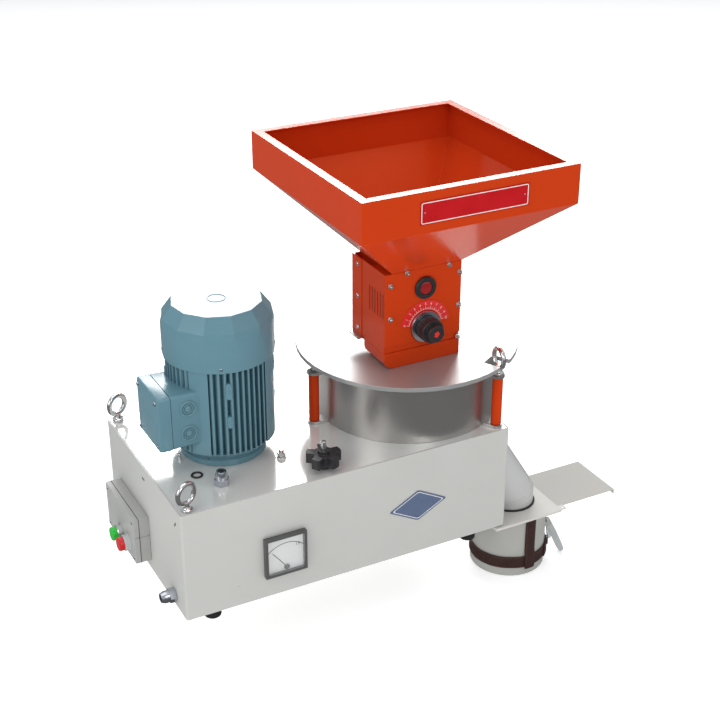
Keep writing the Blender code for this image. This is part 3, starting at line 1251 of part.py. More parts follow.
def build_gate_frame():
    left = OUTLET_X - GATE_LEFT_OF_OUTLET
    right = OUTLET_X + GATE_RIGHT_OF_OUTLET
    shape = block(left, right, GATE_FRONT, GATE_REAR, GATE_UNDERSIDE, GATE_TOP)
    frame = add_piece("gate_frame", shape, PALE_GREY, 0.35)
    slot_top = GATE_TOP - SLIDE_GATE_THICKNESS
    slot_foot = slot_top - SLIDE_GATE_THICKNESS - 2 * GAP
    tab_end = right + GATE_TAB_LENGTH
    tab_rear = GATE_FRONT + GATE_TAB_WIDTH
    join(frame, block(right - GATE_TAB_LENGTH, tab_end, GATE_FRONT, tab_rear, slot_top, GATE_TOP))
    hole_at = (tab_end - GATE_TAB_LENGTH / 2, GATE_FRONT + GATE_TAB_WIDTH / 2, 0)
    hole = extruded(circle(GATE_TAB_HOLE, TINY_FLATS), GATE_UNDERSIDE, GATE_TOP + GATE_THICKNESS)
    cut(frame, hole, hole_at)
    half = SLIDE_GATE_WIDTH / 2 + GAP
    closed_left = OUTLET_X + SLIDE_GATE_END - SLIDE_GATE_LENGTH - SLIDE_GATE_TRAVEL
    middle = (GATE_FRONT + GATE_REAR) / 2
    cut(frame, block(closed_left - GAP, tab_end, middle - half, middle + half, slot_foot, slot_top))
    low = GATE_UNDERSIDE - GATE_THICKNESS
    bore = extruded(circle(DUCT_RADIUS - DUCT_WALL, MEDIUM_FLATS), low, GATE_TOP + GATE_THICKNESS)
    cut(frame, bore, (OUTLET_X, OUTLET_Y, 0))


def build_slide_gate():
    high = GATE_TOP - SLIDE_GATE_THICKNESS - GAP
    low = high - SLIDE_GATE_THICKNESS
    middle = (GATE_FRONT + GATE_REAR) / 2
    sheet = SLIDE_GATE_THICKNESS
    foot = low - SLIDE_GATE_LIP
    profile = [(-SLIDE_GATE_LENGTH, low), (-sheet, low), (-sheet, foot)]
    profile += [(0, foot), (0, high), (-SLIDE_GATE_LENGTH, high)]
    half = SLIDE_GATE_WIDTH / 2
    rings = [[Vector((x, y, z)) for x, z in profile] for y in (-half, half)]
    add_piece("slide_gate", lofted(rings), ZINC, 0.4, 0.6, (OUTLET_X + SLIDE_GATE_END, middle, 0))


def build_sleeve():
    inner = SLEEVE_RADIUS - SLEEVE_WALL
    throat = DUCT_RADIUS - DUCT_WALL
    ceiling = SLEEVE_TOP - SLEEVE_WALL
    profile = [(throat, SLEEVE_TOP), (SLEEVE_RADIUS, SLEEVE_TOP), (SLEEVE_RADIUS, SLEEVE_FOOT)]
    profile += [(inner, SLEEVE_FOOT), (inner, ceiling), (throat, ceiling)]
    shape = turned(profile, MEDIUM_FLATS, closed=True)
    sleeve = add_piece("outlet_sleeve", shape, PALE_GREY, 0.4, at=(OUTLET_X, OUTLET_Y, 0), smooth=True)
    join_latch_ears(sleeve)


def build_strap():
    low = SLEEVE_FOOT + STRAP_FROM_FOOT
    high = low + STRAP_WIDTH
    inner = SLEEVE_RADIUS + GAP
    outer = inner + STRAP_THICKNESS
    place = (OUTLET_X, OUTLET_Y, 0)
    shape = tube(inner, outer, low, high, MEDIUM_FLATS)
    strap = add_piece("sleeve_strap", shape, LEATHER, 0.6, at=place, smooth=True)
    half = math.degrees(TAIL_WIDTH / 2 / inner)
    first = TAIL_ANGLE - half
    last = TAIL_ANGLE + half
    tail = arc(outer, first, last, SHORT_ARC_STEPS) + arc(inner, last, first, SHORT_ARC_STEPS)
    join(strap, extruded(tail, (low + high) / 2, SLEEVE_TOP - GAP), place)


def latch_reach():
    return SLEEVE_RADIUS + GAP + STRAP_THICKNESS + GAP + LATCH_EYE_RADIUS


def join_latch_ears(sleeve):
    # Two ears and a cross pin carry the latch; they lie in the upright plane of its radius.
    turn = Matrix.Rotation(math.radians(LATCH_ANGLE), 4, "Z")
    place = (OUTLET_X, OUTLET_Y, SLEEVE_TOP - LATCH_DROP)
    near = LATCH_ARM_WIDTH / 2 + GAP
    far = near + LATCH_EAR_THICKNESS
    root = SLEEVE_RADIUS - SLEEVE_WALL / 2
    outline = [Vector((root, -LATCH_EYE_RADIUS))]
    outline += arc(LATCH_EYE_RADIUS, -90, 90, ARC_STEPS, (latch_reach(), 0))
    outline.append(Vector((root, LATCH_EYE_RADIUS)))
    for low, high in ((-far, -near), (near, far)):
        rings = [[Vector((point.x, y, point.y)) for point in outline] for y in (low, high)]
        join(sleeve, lofted(rings), place, turn)
    middle = (near + far) / 2
    join(sleeve, cross_pin(LATCH_PIN_RADIUS, middle, latch_reach()), place, turn)


def cross_pin(radius, half_length, reach=0.0):
    rings = []
    for y in (-half_length, half_length):
        rings.append([Vector((reach + point.x, y, point.y)) for point in circle(radius, TINY_FLATS)])
    return lofted(rings)


def latch_pivot():
    angle = math.radians(LATCH_ANGLE)
    reach = latch_reach()
    return OUTLET_X + reach * math.cos(angle), OUTLET_Y + reach * math.sin(angle), SLEEVE_TOP - LATCH_DROP


def build_latch():
    # The arm hangs from a cross pin just outside the strap, in the upright plane of the radius.
    drop = Vector((math.sin(math.radians(LATCH_LEAN)), -math.cos(math.radians(LATCH_LEAN))))
    side = Vector((-drop.y, drop.x)) * (LATCH_ARM_THICKNESS / 2)
    tip = drop * LATCH_ARM_LENGTH
    facing = math.degrees(math.atan2(drop.y, drop.x))
    edge = math.degrees(math.asin(LATCH_ARM_THICKNESS / 2 / LATCH_EYE_RADIUS))
    outline = [tip - side, tip + side]
    outline += arc(LATCH_EYE_RADIUS, facing + edge, facing + 360 - edge, TINY_FLATS)
    half = LATCH_ARM_WIDTH / 2
    rings = [[Vector((point.x, y, point.y)) for point in outline] for y in (-half, half)]
    turn = Matrix.Rotation(math.radians(LATCH_ANGLE), 4, "Z")
    latch = add_piece("strap_latch", lofted(rings), MID_GREY, 0.4, at=latch_pivot(), turn=turn)
    cut(latch, cross_pin(LATCH_PIN_RADIUS + GAP, LATCH_ARM_WIDTH), latch_pivot(), turn)


def build_all():
    clear_scene()
    build_base()
    build_deck()
    build_bottom_panel()
    build_feet()
    build_eyebolts()
    build_mill_housing()
    build_top_cover()
    build_posts()
    build_stones()
    build_spindle()
    build_belt_drive()
    build_motor_body()
    build_fan_cowl()
    build_motor_inside()
    build_terminal_box()
    build_feeder_bracket()
    build_throat()
    build_shut_off_slide()
    build_feeder_housing()
    build_feeder_cover()
    build_feed_drum()
    build_dial()
    build_speed_knob()
    build_feeder_switch()
    build_hopper()
    build_name_plate()
    build_control_box()
    build_buttons()
    build_glands()
    build_ammeter()
    build_star_knob()
    build_duct()
    build_gate_frame()
    build_slide_gate()
    build_sleeve()
    build_strap()
    build_latch()


build_all()
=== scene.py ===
import math

import bmesh
import bpy
from mathutils import Matrix, Vector


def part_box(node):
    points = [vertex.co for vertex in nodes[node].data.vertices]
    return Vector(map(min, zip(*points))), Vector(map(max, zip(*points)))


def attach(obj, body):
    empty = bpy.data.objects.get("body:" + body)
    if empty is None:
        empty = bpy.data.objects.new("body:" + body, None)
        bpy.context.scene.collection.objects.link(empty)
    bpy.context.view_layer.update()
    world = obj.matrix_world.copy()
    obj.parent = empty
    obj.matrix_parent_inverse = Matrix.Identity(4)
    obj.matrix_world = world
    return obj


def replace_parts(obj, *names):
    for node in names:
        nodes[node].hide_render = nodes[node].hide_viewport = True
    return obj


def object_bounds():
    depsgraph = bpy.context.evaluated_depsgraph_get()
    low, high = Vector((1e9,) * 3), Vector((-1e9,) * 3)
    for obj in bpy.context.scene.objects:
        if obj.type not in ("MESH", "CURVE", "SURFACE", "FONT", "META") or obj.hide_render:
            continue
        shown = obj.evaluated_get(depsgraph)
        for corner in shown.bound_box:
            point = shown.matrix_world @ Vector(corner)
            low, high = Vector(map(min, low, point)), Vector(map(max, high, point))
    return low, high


# The stone flour mill's finishes and fine pieces. Sizes in metres: X along the front, Y to the back, Z up.

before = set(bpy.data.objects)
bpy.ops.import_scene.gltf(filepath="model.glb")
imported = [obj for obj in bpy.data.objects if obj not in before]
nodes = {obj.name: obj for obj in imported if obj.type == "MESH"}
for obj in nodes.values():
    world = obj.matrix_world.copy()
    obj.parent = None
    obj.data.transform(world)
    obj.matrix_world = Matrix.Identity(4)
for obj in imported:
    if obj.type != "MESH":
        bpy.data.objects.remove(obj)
cad_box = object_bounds()

# Camera, as the photograph was taken
CAMERA_PLACE = (-1.1647, -2.4786, 1.7917)
CAMERA_TILT = 26.725
CAMERA_TURN = -27.646
CAMERA_LENS = 70.07

# The floor is white to the eye, and duller where polished pieces mirror it, as past the lamps' reach
FLOOR_WHITE = (0.86, 0.86, 0.86)
FLOOR_IN_MIRROR = (0.16, 0.16, 0.16)
FLOOR_GLOW = 0.42

# Small clearances and steps
SEAT = 0.0003
ROUND = 32
FINE_ROUND = 64


def turned(degrees, axis="Z"):
    return Matrix.Rotation(math.radians(degrees), 4, axis)


def at(x, y, z, facing=Matrix.Identity(4)):
    return Matrix.Translation((x, y, z)) @ facing


FACE_FRONT = turned(90, "X")
FACE_LEFT = Matrix(((0, 0, -1, 0), (-1, 0, 0, 0), (0, 1, 0, 0), (0, 0, 0, 1)))
FACE_DOWN = turned(180, "X")
FACE_OUT = turned(90, "Y")


def extent(node):
    # The corners of a node's box and its middle.
    low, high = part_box(node)
    return low, high, (low + high) / 2


# Camera, floor and lights

def place_camera():
    data = bpy.data.cameras.new("front_camera")
    data.sensor_width = 36.0
    data.lens = CAMERA_LENS
    data.clip_end = 100.0
    camera = bpy.data.objects.new("front_camera", data)
    camera.location = CAMERA_PLACE
    camera.rotation_euler = (math.radians(90 - CAMERA_TILT), 0.0, math.radians(CAMERA_TURN))
    bpy.context.scene.collection.objects.link(camera)
    bpy.context.scene.camera = camera


def lay_floor():
    half = 30.0
    height = cad_box[0].z - 0.001
    mesh = bpy.data.meshes.new("studio_floor")
    corners = [(-half, -half, height), (half, -half, height), (half, half, height), (-half, half, height)]
    mesh.from_pydata(corners, [], [(0, 1, 2, 3)])
    floor = bpy.data.objects.new("studio_floor", mesh)
    bpy.context.scene.collection.objects.link(floor)
    paint = bpy.data.materials.new("floor_white")
    paint.use_nodes = True
    shader = paint.node_tree.nodes["Principled BSDF"]
    tree = paint.node_tree
    shader.inputs["Emission Color"].default_value = (1.0, 1.0, 1.0, 1.0)
    mirrored = tree.nodes.new("ShaderNodeLightPath").outputs["Is Glossy Ray"]
    tree.links.new(mixed(tree, mirrored, FLOOR_WHITE, FLOOR_IN_MIRROR), shader.inputs["Base Color"])
    tree.links.new(ranged(tree, mirrored, FLOOR_GLOW, 0.0), shader.inputs["Emission Strength"])
    shader.inputs["Roughness"].default_value = 0.9
    shader.inputs["Specular IOR Level"].default_value = 0.1
    mesh.materials.append(paint)


def hang_softbox(name, place, target, width, height, watts):
    light = bpy.data.lights.new(name, "AREA")
    light.shape = "RECTANGLE"
    light.size = width
    light.size_y = height
    light.energy = watts
    lamp = bpy.data.objects.new(name, light)
    lamp.location = place
    aim = Vector(target) - Vector(place)
    lamp.rotation_euler = aim.to_track_quat("-Z", "Y").to_euler()
    bpy.context.scene.collection.objects.link(lamp)


def light_studio():
    world = bpy.data.worlds.new("studio_air")
    world.use_nodes = True
    background = world.node_tree.nodes["Background"]
    background.inputs["Color"].default_value = (0.94, 0.97, 1.0, 1.0)
    background.inputs["Strength"].default_value = 0.56
    bpy.context.scene.world = world
    hang_softbox("overhead_softbox", (0.1, 0.3, 3.2), (0.05, 0.0, 0.3), 3.4, 3.4, 42.0)
    hang_softbox("rear_softbox", (2.05, 4.2, 2.92), (0.05, 0.0, 0.4), 4.2, 1.05, 185.0)
    hang_softbox("left_softbox", (-3.2, -1.2, 2.0), (0.0, 0.0, 0.3), 1.8, 1.8, 30.0)
    hang_softbox("front_softbox", (-0.2, -3.6, 2.4), (0.0, 0.0, 0.3), 1.4, 1.4, 24.0)
    view = bpy.context.scene.view_settings
    view.view_transform = "Standard"
    view.look = "None"


# Shader groups, each built once and placed in the finishes with its own values

def new_group(name, inputs, outputs):
    # Every input is one number, unless its value is a vector.
    group = bpy.data.node_groups.new(name, "ShaderNodeTree")
    for label, value in inputs.items():
        kind = "NodeSocketVector" if isinstance(value, tuple) else "NodeSocketFloat"
        group.interface.new_socket(name=label, in_out="INPUT", socket_type=kind).default_value = value
    for label in outputs:
        group.interface.new_socket(name=label, in_out="OUTPUT", socket_type="NodeSocketFloat")
    return group, group.nodes.new("NodeGroupInput").outputs, group.nodes.new("NodeGroupOutput").inputs


def fill_node(tree, node, values):
    # Each value is a plain one or another node's output.
    for socket, value in values.items():
        if isinstance(value, bpy.types.NodeSocket):
            tree.links.new(value, node.inputs[socket])
        else:
            node.inputs[socket].default_value = value
    return node


def add_node(tree, kind, values):
    return fill_node(tree, tree.nodes.new("ShaderNode" + kind), values)


def maths(tree, operation, *values):
    node = add_node(tree, "Math", dict(enumerate(values)))
    node.operation = operation
    return node.outputs[0]


def vector_maths(tree, operation, first, second):
    node = add_node(tree, "VectorMath", {0: first, 1: second})
    node.operation = operation
    return node.outputs


def times(tree, first, second):
    return maths(tree, "MULTIPLY", first, second)


def plus(tree, first, second):
    return maths(tree, "ADD", first, second)


def ranged(tree, value, low, high, start=0.0, end=1.0):
    values = {"Value": value, "From Min": start, "From Max": end, "To Min": low, "To Max": high}
    return add_node(tree, "MapRange", values).outputs["Result"]


def object_coordinates(tree):
    return tree.nodes.new("ShaderNodeTexCoord").outputs["Object"]


def noise(tree, vector, scale, detail=2.0, roughness=0.5):
    values = {"Vector": vector, "Scale": scale, "Detail": detail, "Roughness": roughness}
    return add_node(tree, "TexNoise", values).outputs["Fac"]


def build_soft_patches():
    # Broad cloudy change of tone, as paint and handled metal show.
    group, given, result = new_group("soft_patches", {"Scale": 6.0, "Spread": 1.0}, ["Patches"])
    cloud = noise(group, object_coordinates(group), given["Scale"], 3.0)
    spread = times(group, maths(group, "SUBTRACT", cloud, 0.5), given["Spread"])
    clamped = add_node(group, "Clamp", {"Value": plus(group, spread, 0.5)})
    group.links.new(clamped.outputs["Result"], result["Patches"])
    return group


def build_sprayed_skin():
    # The fine dimples of sprayed or moulded skin: two sizes of noise.
    group, given, result = new_group("sprayed_skin", {"Scale": 600.0, "Waviness": 0.4}, ["Height"])
    place = object_coordinates(group)
    fine = noise(group, place, given["Scale"])
    broad = noise(group, place, times(group, given["Scale"], 0.12), 1.0)
    group.links.new(plus(group, fine, times(group, broad, given["Waviness"])), result["Height"])
    return group


def build_drawn_lines():
    # Long fine lines left by grinding or rolling; the stretch says which way they run.
    group, given, result = new_group("drawn_lines", {"Stretch": (6.0, 600.0, 600.0)}, ["Lines"])
    scaled = vector_maths(group, "MULTIPLY", object_coordinates(group), given["Stretch"])
    group.links.new(noise(group, scaled["Vector"], 1.0, 4.0, 0.6), result["Lines"])
    return group


def build_turned_lines():
    # Fine rings round an upright axis, as on a rolled or turned piece.
    group, given, result = new_group("turned_lines", {"Centre": (0.0, 0.0, 0.0), "Pitch": 900.0}, ["Lines"])
    offset = vector_maths(group, "SUBTRACT", object_coordinates(group), given["Centre"])["Vector"]
    x, y, z = add_node(group, "SeparateXYZ", {"Vector": offset}).outputs
    radius = maths(group, "SQRT", plus(group, times(group, x, x), times(group, y, y)))
    angle = maths(group, "ARCTAN2", y, x)
    rolled = {"X": times(group, radius, given["Pitch"]), "Y": times(group, angle, 1.5),
              "Z": times(group, z, given["Pitch"])}
    rolled = add_node(group, "CombineXYZ", rolled).outputs["Vector"]
    group.links.new(noise(group, rolled, 1.0, 3.0, 0.6), result["Lines"])
    return group


def build_worn_edges():
    # Marks the outer edges for a painted highlight, a thin light line along each edge; broken up by noise.
    group, given, result = new_group("painted_edge_highlight", {"Width": 0.0015, "Amount": 1.0}, ["Mask"])
    rounded = add_node(group, "Bevel", {"Radius": given["Width"]})
    rounded.samples = 4
    flat = group.nodes.new("ShaderNodeNewGeometry").outputs["Normal"]
    dot = vector_maths(group, "DOT_PRODUCT", rounded.outputs["Normal"], flat)["Value"]
    bend = ranged(group, dot, 1.0, 0.0, 0.75, 0.98)
    broken = ranged(group, noise(group, object_coordinates(group), 90.0, 3.0), 0.25, 1.0, 0.35, 0.65)
    group.links.new(times(group, times(group, bend, broken), given["Amount"]), result["Mask"])
    return group


def build_hide_grain():
    # Leather: small pebbled cells with creases between them.
    group, given, result = new_group("hide_grain", {"Scale": 700.0}, ["Height", "Creases"])
    cells = add_node(group, "TexVoronoi", {"Vector": object_coordinates(group), "Scale": given["Scale"]})
    cells.feature = "DISTANCE_TO_EDGE"
    height = ranged(group, cells.outputs["Distance"], 0.0, 1.0, 0.0, 0.35)
    group.links.new(height, result["Height"])
    group.links.new(ranged(group, height, 1.0, 0.0), result["Creases"])
    return group


def build_stone_grit():
    # Emery and flint grains of a composed millstone.
    group, given, result = new_group("stone_grit", {"Scale": 260.0}, ["Height", "Grains"])
    place = object_coordinates(group)
    cells = add_node(group, "TexVoronoi", {"Vector": place, "Scale": given["Scale"]}).outputs["Distance"]
    fine = noise(group, place, given["Scale"], 4.0, 0.7)
    group.links.new(plus(group, fine, cells), result["Height"])
    group.links.new(ranged(group, cells, 0.0, 1.0, 0.1, 0.7), result["Grains"])
    return group


GROUPS = {
    "soft_patches": build_soft_patches(),
    "sprayed_skin": build_sprayed_skin(),
    "drawn_lines": build_drawn_lines(),
    "turned_lines": build_turned_lines(),
    "painted_edge_highlight": build_worn_edges(),
    "hide_grain": build_hide_grain(),
    "stone_grit": build_stone_grit(),
}


# Finishes

def new_finish(name, roughness, metallic=0.0, specular=0.5, coat=0.0):
    material = bpy.data.materials.new(name)
    material.use_nodes = True
    shader = material.node_tree.nodes["Principled BSDF"]
    shader.inputs["Roughness"].default_value = roughness
    shader.inputs["Metallic"].default_value = metallic
    shader.inputs["Specular IOR Level"].default_value = specular
    shader.inputs["Coat Weight"].default_value = coat
    shader.inputs["Coat Roughness"].default_value = 0.04
    return material, material.node_tree, shader


def placed(tree, group_name, **values):
    node = tree.nodes.new("ShaderNodeGroup")
    node.node_tree = GROUPS[group_name]
    for label, value in values.items():
        node.inputs[label].default_value = value
    return node.outputs


def soft_patches(tree, scale, spread):
    return placed(tree, "soft_patches", Scale=scale, Spread=spread)["Patches"]


def mixed(tree, factor, first, second):
    node = tree.nodes.new("ShaderNodeMix")
    node.data_type = "RGBA"
    first, second = ((*colour, 1.0) if isinstance(colour, tuple) else colour for colour in (first, second))
    return fill_node(tree, node, {0: factor, 6: first, 7: second}).outputs[2]


def shade(colour, factor):
    return tuple(channel * factor for channel in colour)


def toned(tree, factor, colour, tone):
    return mixed(tree, factor, shade(colour, 1 - tone), shade(colour, 1 + tone))


def dress(tree, shader, colour, dull, height, strength, depth):
    # Colour, roughness and fine relief, each from its own nodes.
    tree.links.new(colour, shader.inputs["Base Color"])
    tree.links.new(dull, shader.inputs["Roughness"])
    bump = add_node(tree, "Bump", {"Strength": strength, "Distance": depth, "Height": height})
    tree.links.new(bump.outputs["Normal"], shader.inputs["Normal"])


def sprayed_paint(name, colour, edge, roughness, skin=500.0, depth=0.00004, specular=0.5, coat=0.0, tone=0.08,
                  highlight_amount=0.6, sheen=(1.0, 1.0, 1.0)):
    material, tree, shader = new_finish(name, roughness, 0.0, specular, coat)
    shader.inputs["Specular Tint"].default_value = (*sheen, 1.0)
    patches = soft_patches(tree, 7.0, 1.6)
    # Painted highlight: the outer edges take the lighter edge colour, as a thin light line.
    mask = placed(tree, "painted_edge_highlight", Width=0.0016, Amount=highlight_amount)["Mask"]
    body = mixed(tree, mask, toned(tree, patches, colour, tone), edge)
    dull = ranged(tree, patches, roughness * 0.85, roughness * 1.2)
    dress(tree, shader, body, dull, placed(tree, "sprayed_skin", Scale=skin)["Height"], 0.5, depth)
    return material


def drawn_metal(name, colour, roughness, stretch, tone=0.06, metallic=1.0):
    material, tree, shader = new_finish(name, roughness, metallic)
    lines = placed(tree, "drawn_lines", Stretch=stretch)["Lines"]
    patches = soft_patches(tree, 5.0, 1.4)
    body = mixed(tree, patches, toned(tree, lines, colour, tone), colour)
    both = plus(tree, times(tree, lines, 0.5), times(tree, patches, 0.5))
    dress(tree, shader, body, ranged(tree, both, roughness * 0.75, roughness * 1.25), lines, 0.4, 0.00002)
    return material


def turned_metal(name, colour, roughness, centre=(0.0, 0.0, 0.0), tone=0.06, depth=0.00002, pitch=900.0,
                 metallic=1.0):
    material, tree, shader = new_finish(name, roughness, metallic)
    lines = placed(tree, "turned_lines", Centre=centre, Pitch=pitch)["Lines"]
    patches = soft_patches(tree, 6.0, 1.5)
    body = mixed(tree, patches, toned(tree, lines, colour, tone), colour)
    dress(tree, shader, body, ranged(tree, lines, roughness * 0.8, roughness * 1.2), lines, 0.4, depth)
    return material


def moulded_plastic(name, colour, roughness, skin=1400.0, depth=0.00003, specular=0.5, tone=0.12, coat=0.0):
    material, tree, shader = new_finish(name, roughness, 0.0, specular, coat)
    patches = soft_patches(tree, 30.0, 1.8)
    # Painted highlight: the outer edges are lightened.
    mask = placed(tree, "painted_edge_highlight", Width=0.0008, Amount=0.5)["Mask"]
    body = mixed(tree, mask, toned(tree, patches, colour, tone), shade(colour, 1.6))
    dull = ranged(tree, patches, roughness * 0.85, roughness * 1.2)
    dress(tree, shader, body, dull, placed(tree, "sprayed_skin", Scale=skin)["Height"], 0.5, depth)
    return material


def cast_metal(name, colour, roughness, metallic):
    material, tree, shader = new_finish(name, roughness, metallic)
    patches = soft_patches(tree, 25.0, 1.8)
    # Painted highlight: the outer edges are lightened.
    mask = placed(tree, "painted_edge_highlight", Width=0.0012, Amount=0.8)["Mask"]
    body = mixed(tree, patches, shade(colour, 0.8), shade(colour, 1.15))
    body = mixed(tree, mask, body, shade(colour, 1.7))
    dull = ranged(tree, patches, roughness * 0.8, roughness * 1.2)
    skin = placed(tree, "sprayed_skin", Scale=900.0, Waviness=1.0)["Height"]
    dress(tree, shader, body, dull, skin, 0.7, 0.0001)
    return material


def millstone(name, colour):
    material, tree, shader = new_finish(name, 0.9)
    grit = placed(tree, "stone_grit", Scale=280.0)
    body = mixed(tree, grit["Grains"], shade(colour, 1.15), shade(colour, 0.6))
    dress(tree, shader, body, ranged(tree, grit["Grains"], 0.95, 0.75), grit["Height"], 1.0, 0.0006)
    return material


def strap_hide(name, colour, dark):
    material, tree, shader = new_finish(name, 0.55)
    grain = placed(tree, "hide_grain", Scale=650.0)
    patches = soft_patches(tree, 40.0, 2.0)
    body = mixed(tree, grain["Creases"], mixed(tree, patches, colour, shade(colour, 1.5)), dark)
    dress(tree, shader, body, ranged(tree, patches, 0.45, 0.65), grain["Height"], 0.7, 0.00015)
    return material


def clear_pane(name):
    material, tree, shader = new_finish(name, 0.03)
    shader.inputs["Base Color"].default_value = (1.0, 1.0, 1.0, 1.0)
    shader.inputs["Alpha"].default_value = 0.07
    tree.links.new(ranged(tree, soft_patches(tree, 20.0, 1.0), 0.01, 0.05), shader.inputs["Roughness"])
    return material


MILL_CENTRE = (*extent("top_cover")[2][:2], 0.0)

pale_enamel = sprayed_paint("pale_enamel", (0.525, 0.525, 0.497), (0.66, 0.66, 0.63), 0.36, 420.0, 0.00005,
                            0.25, tone=0.025, highlight_amount=0.8)
white_enamel = sprayed_paint("white_enamel", (0.55, 0.55, 0.54), (0.80, 0.80, 0.79), 0.28, 380.0, tone=0.02,
                             highlight_amount=0.5)
sleeve_enamel = sprayed_paint("sleeve_enamel", (0.40, 0.40, 0.375), (0.72, 0.72, 0.70), 0.36, tone=0.03)
gate_enamel = sprayed_paint("gate_enamel", (0.60, 0.585, 0.55), (0.78, 0.76, 0.72), 0.45, specular=0.12,
                            tone=0.03, highlight_amount=0.9)
slide_enamel = sprayed_paint("slide_enamel", (0.47, 0.46, 0.43), (0.66, 0.65, 0.62), 0.55, specular=0.08,
                             tone=0.03)
orange_gloss = sprayed_paint("orange_gloss", (0.56, 0.046, 0.008), (0.64, 0.09, 0.02), 0.15, 160.0, 0.00003,
                             0.4, tone=0.03, highlight_amount=0.5, sheen=(1.0, 0.16, 0.03))
motor_enamel = sprayed_paint("motor_enamel", (0.115, 0.235, 0.285), (0.25, 0.38, 0.43), 0.22, 500.0, 0.00006,
                             0.4,
                             tone=0.06)
deck_steel = drawn_metal("deck_steel", (0.70, 0.70, 0.675), 0.13, (500.0, 5.0, 500.0), 0.03, 0.25)
sheet_zinc = drawn_metal("sheet_zinc", (0.55, 0.54, 0.52), 0.32, (5.0, 400.0, 400.0), 0.08)
cover_steel = turned_metal("cover_steel", (0.50, 0.50, 0.49), 0.42, MILL_CENTRE, tone=0.02, metallic=0.62)
mill_steel = turned_metal("mill_steel", (0.54, 0.52, 0.505), 0.37, MILL_CENTRE, tone=0.10, depth=0.00004)
ground_steel = turned_metal("ground_steel", (0.42, 0.42, 0.43), 0.3, MILL_CENTRE, tone=0.1)
bright_chrome = turned_metal("bright_chrome", (0.72, 0.72, 0.71), 0.08, tone=0.05, pitch=700.0)
gland_nickel = turned_metal("gland_nickel", (0.50, 0.53, 0.58), 0.2, tone=0.08)
cast_iron = cast_metal("cast_iron", (0.16, 0.16, 0.165), 0.5, 0.7)
emery_stone = millstone("emery_stone", (0.42, 0.38, 0.31))
foot_rubber = moulded_plastic("foot_rubber", (0.014, 0.014, 0.014), 0.62, 900.0, 0.00008)
belt_rubber = moulded_plastic("belt_rubber", (0.018, 0.018, 0.019), 0.75, 500.0, 0.00015)
knob_black = moulded_plastic("knob_black", (0.022, 0.022, 0.024), 0.34, 1500.0)
box_grey = moulded_plastic("box_grey", (0.40, 0.40, 0.385), 0.42, 1200.0, 0.00004, tone=0.04)
latch_grey = moulded_plastic("latch_grey", (0.46, 0.48, 0.48), 0.35, tone=0.05)
link_grey = moulded_plastic("link_grey", (0.66, 0.67, 0.66), 0.35, tone=0.05)
bezel_grey = moulded_plastic("bezel_grey", (0.085, 0.085, 0.083), 0.4, tone=0.08)
button_green = moulded_plastic("button_green", (0.006, 0.50, 0.030), 0.3, coat=0.3)
button_red = moulded_plastic("button_red", (0.62, 0.010, 0.012), 0.3, coat=0.3)
lens_red = moulded_plastic("lens_red", (0.30, 0.004, 0.004), 0.14, coat=0.6)
dial_red = moulded_plastic("dial_red", (0.72, 0.012, 0.010), 0.3, tone=0.05)
plate_red = moulded_plastic("plate_red", (0.50, 0.002, 0.006), 0.3, specular=0.2, tone=0.06)
mark_white = moulded_plastic("mark_white", (0.80, 0.79, 0.77), 0.4, tone=0.03)
mark_pink = moulded_plastic("mark_pink", (0.86, 0.55, 0.50), 0.4, tone=0.03)
mark_black = moulded_plastic("mark_black", (0.03, 0.03, 0.03), 0.5, tone=0.1)
# Painted shade: stands for the dark inside of the louvre openings.
painted_slot_shade = moulded_plastic("painted_slot_shade", (0.045, 0.006, 0.003), 0.6, tone=0.2)
face_card = moulded_plastic("face_card", (0.66, 0.66, 0.65), 0.55, 2000.0, 0.00001, tone=0.015)
badge_blue = moulded_plastic("badge_blue", (0.10, 0.14, 0.24), 0.28, tone=0.06, coat=0.3)
strap_brown = strap_hide("strap_brown", (0.066, 0.022, 0.014), (0.020, 0.007, 0.005))
thread_tan = moulded_plastic("thread_tan", (0.13, 0.075, 0.045), 0.75, 3000.0, 0.00005, tone=0.2)
meter_pane = clear_pane("meter_pane")

NODE_FINISH = {
    pale_enamel: ["base_housing", "bottom_panel"],
    white_enamel: ["outlet_duct"],
    sleeve_enamel: ["outlet_sleeve"],
    gate_enamel: ["gate_frame"],
    slide_enamel: ["slide_gate"],
    deck_steel: ["deck_plate"],
    cover_steel: ["top_cover"],
    mill_steel: ["mill_housing"],
    bright_chrome: ["adjusting_screw", "deck_eyebolt_front", "deck_eyebolt_rear", "post_eyebolt"],
    orange_gloss: ["clamp_post_left", "clamp_post_front", "clamp_post_rear", "feeder_bracket", "feed_throat",
                   "feeder_housing", "feeder_front_cover", "hopper"],
    motor_enamel: ["motor_end_shield", "motor_frame", "fan_cowl", "terminal_box", "terminal_box_lid"],
    ground_steel: ["grinding_spindle", "motor_shaft"],
    cast_iron: ["spindle_bearing", "mill_pulley", "motor_pulley", "feeder_gearmotor"],
    sheet_zinc: ["shut_off_slide", "feed_drum"],
    gland_nickel: ["deck_gland", "end_gland"],
    emery_stone: ["bed_stone", "runner_stone"],
    foot_rubber: ["foot_front_left", "foot_front_right", "foot_rear_left", "foot_rear_right"],
    belt_rubber: ["drive_belt"],
    knob_black: ["cooling_fan", "speed_knob", "feeder_switch_ring", "star_knob"],
    mark_black: ["ammeter_needle"],
    bezel_grey: ["ammeter_case"],
    box_grey: ["control_box"],
    latch_grey: ["strap_latch"],
    button_green: ["start_button"],
    button_red: ["stop_button"],
    dial_red: ["dial_plate"],
    plate_red: ["name_plate"],
    lens_red: ["feeder_switch_lens"],
    strap_brown: ["sleeve_strap"],
}

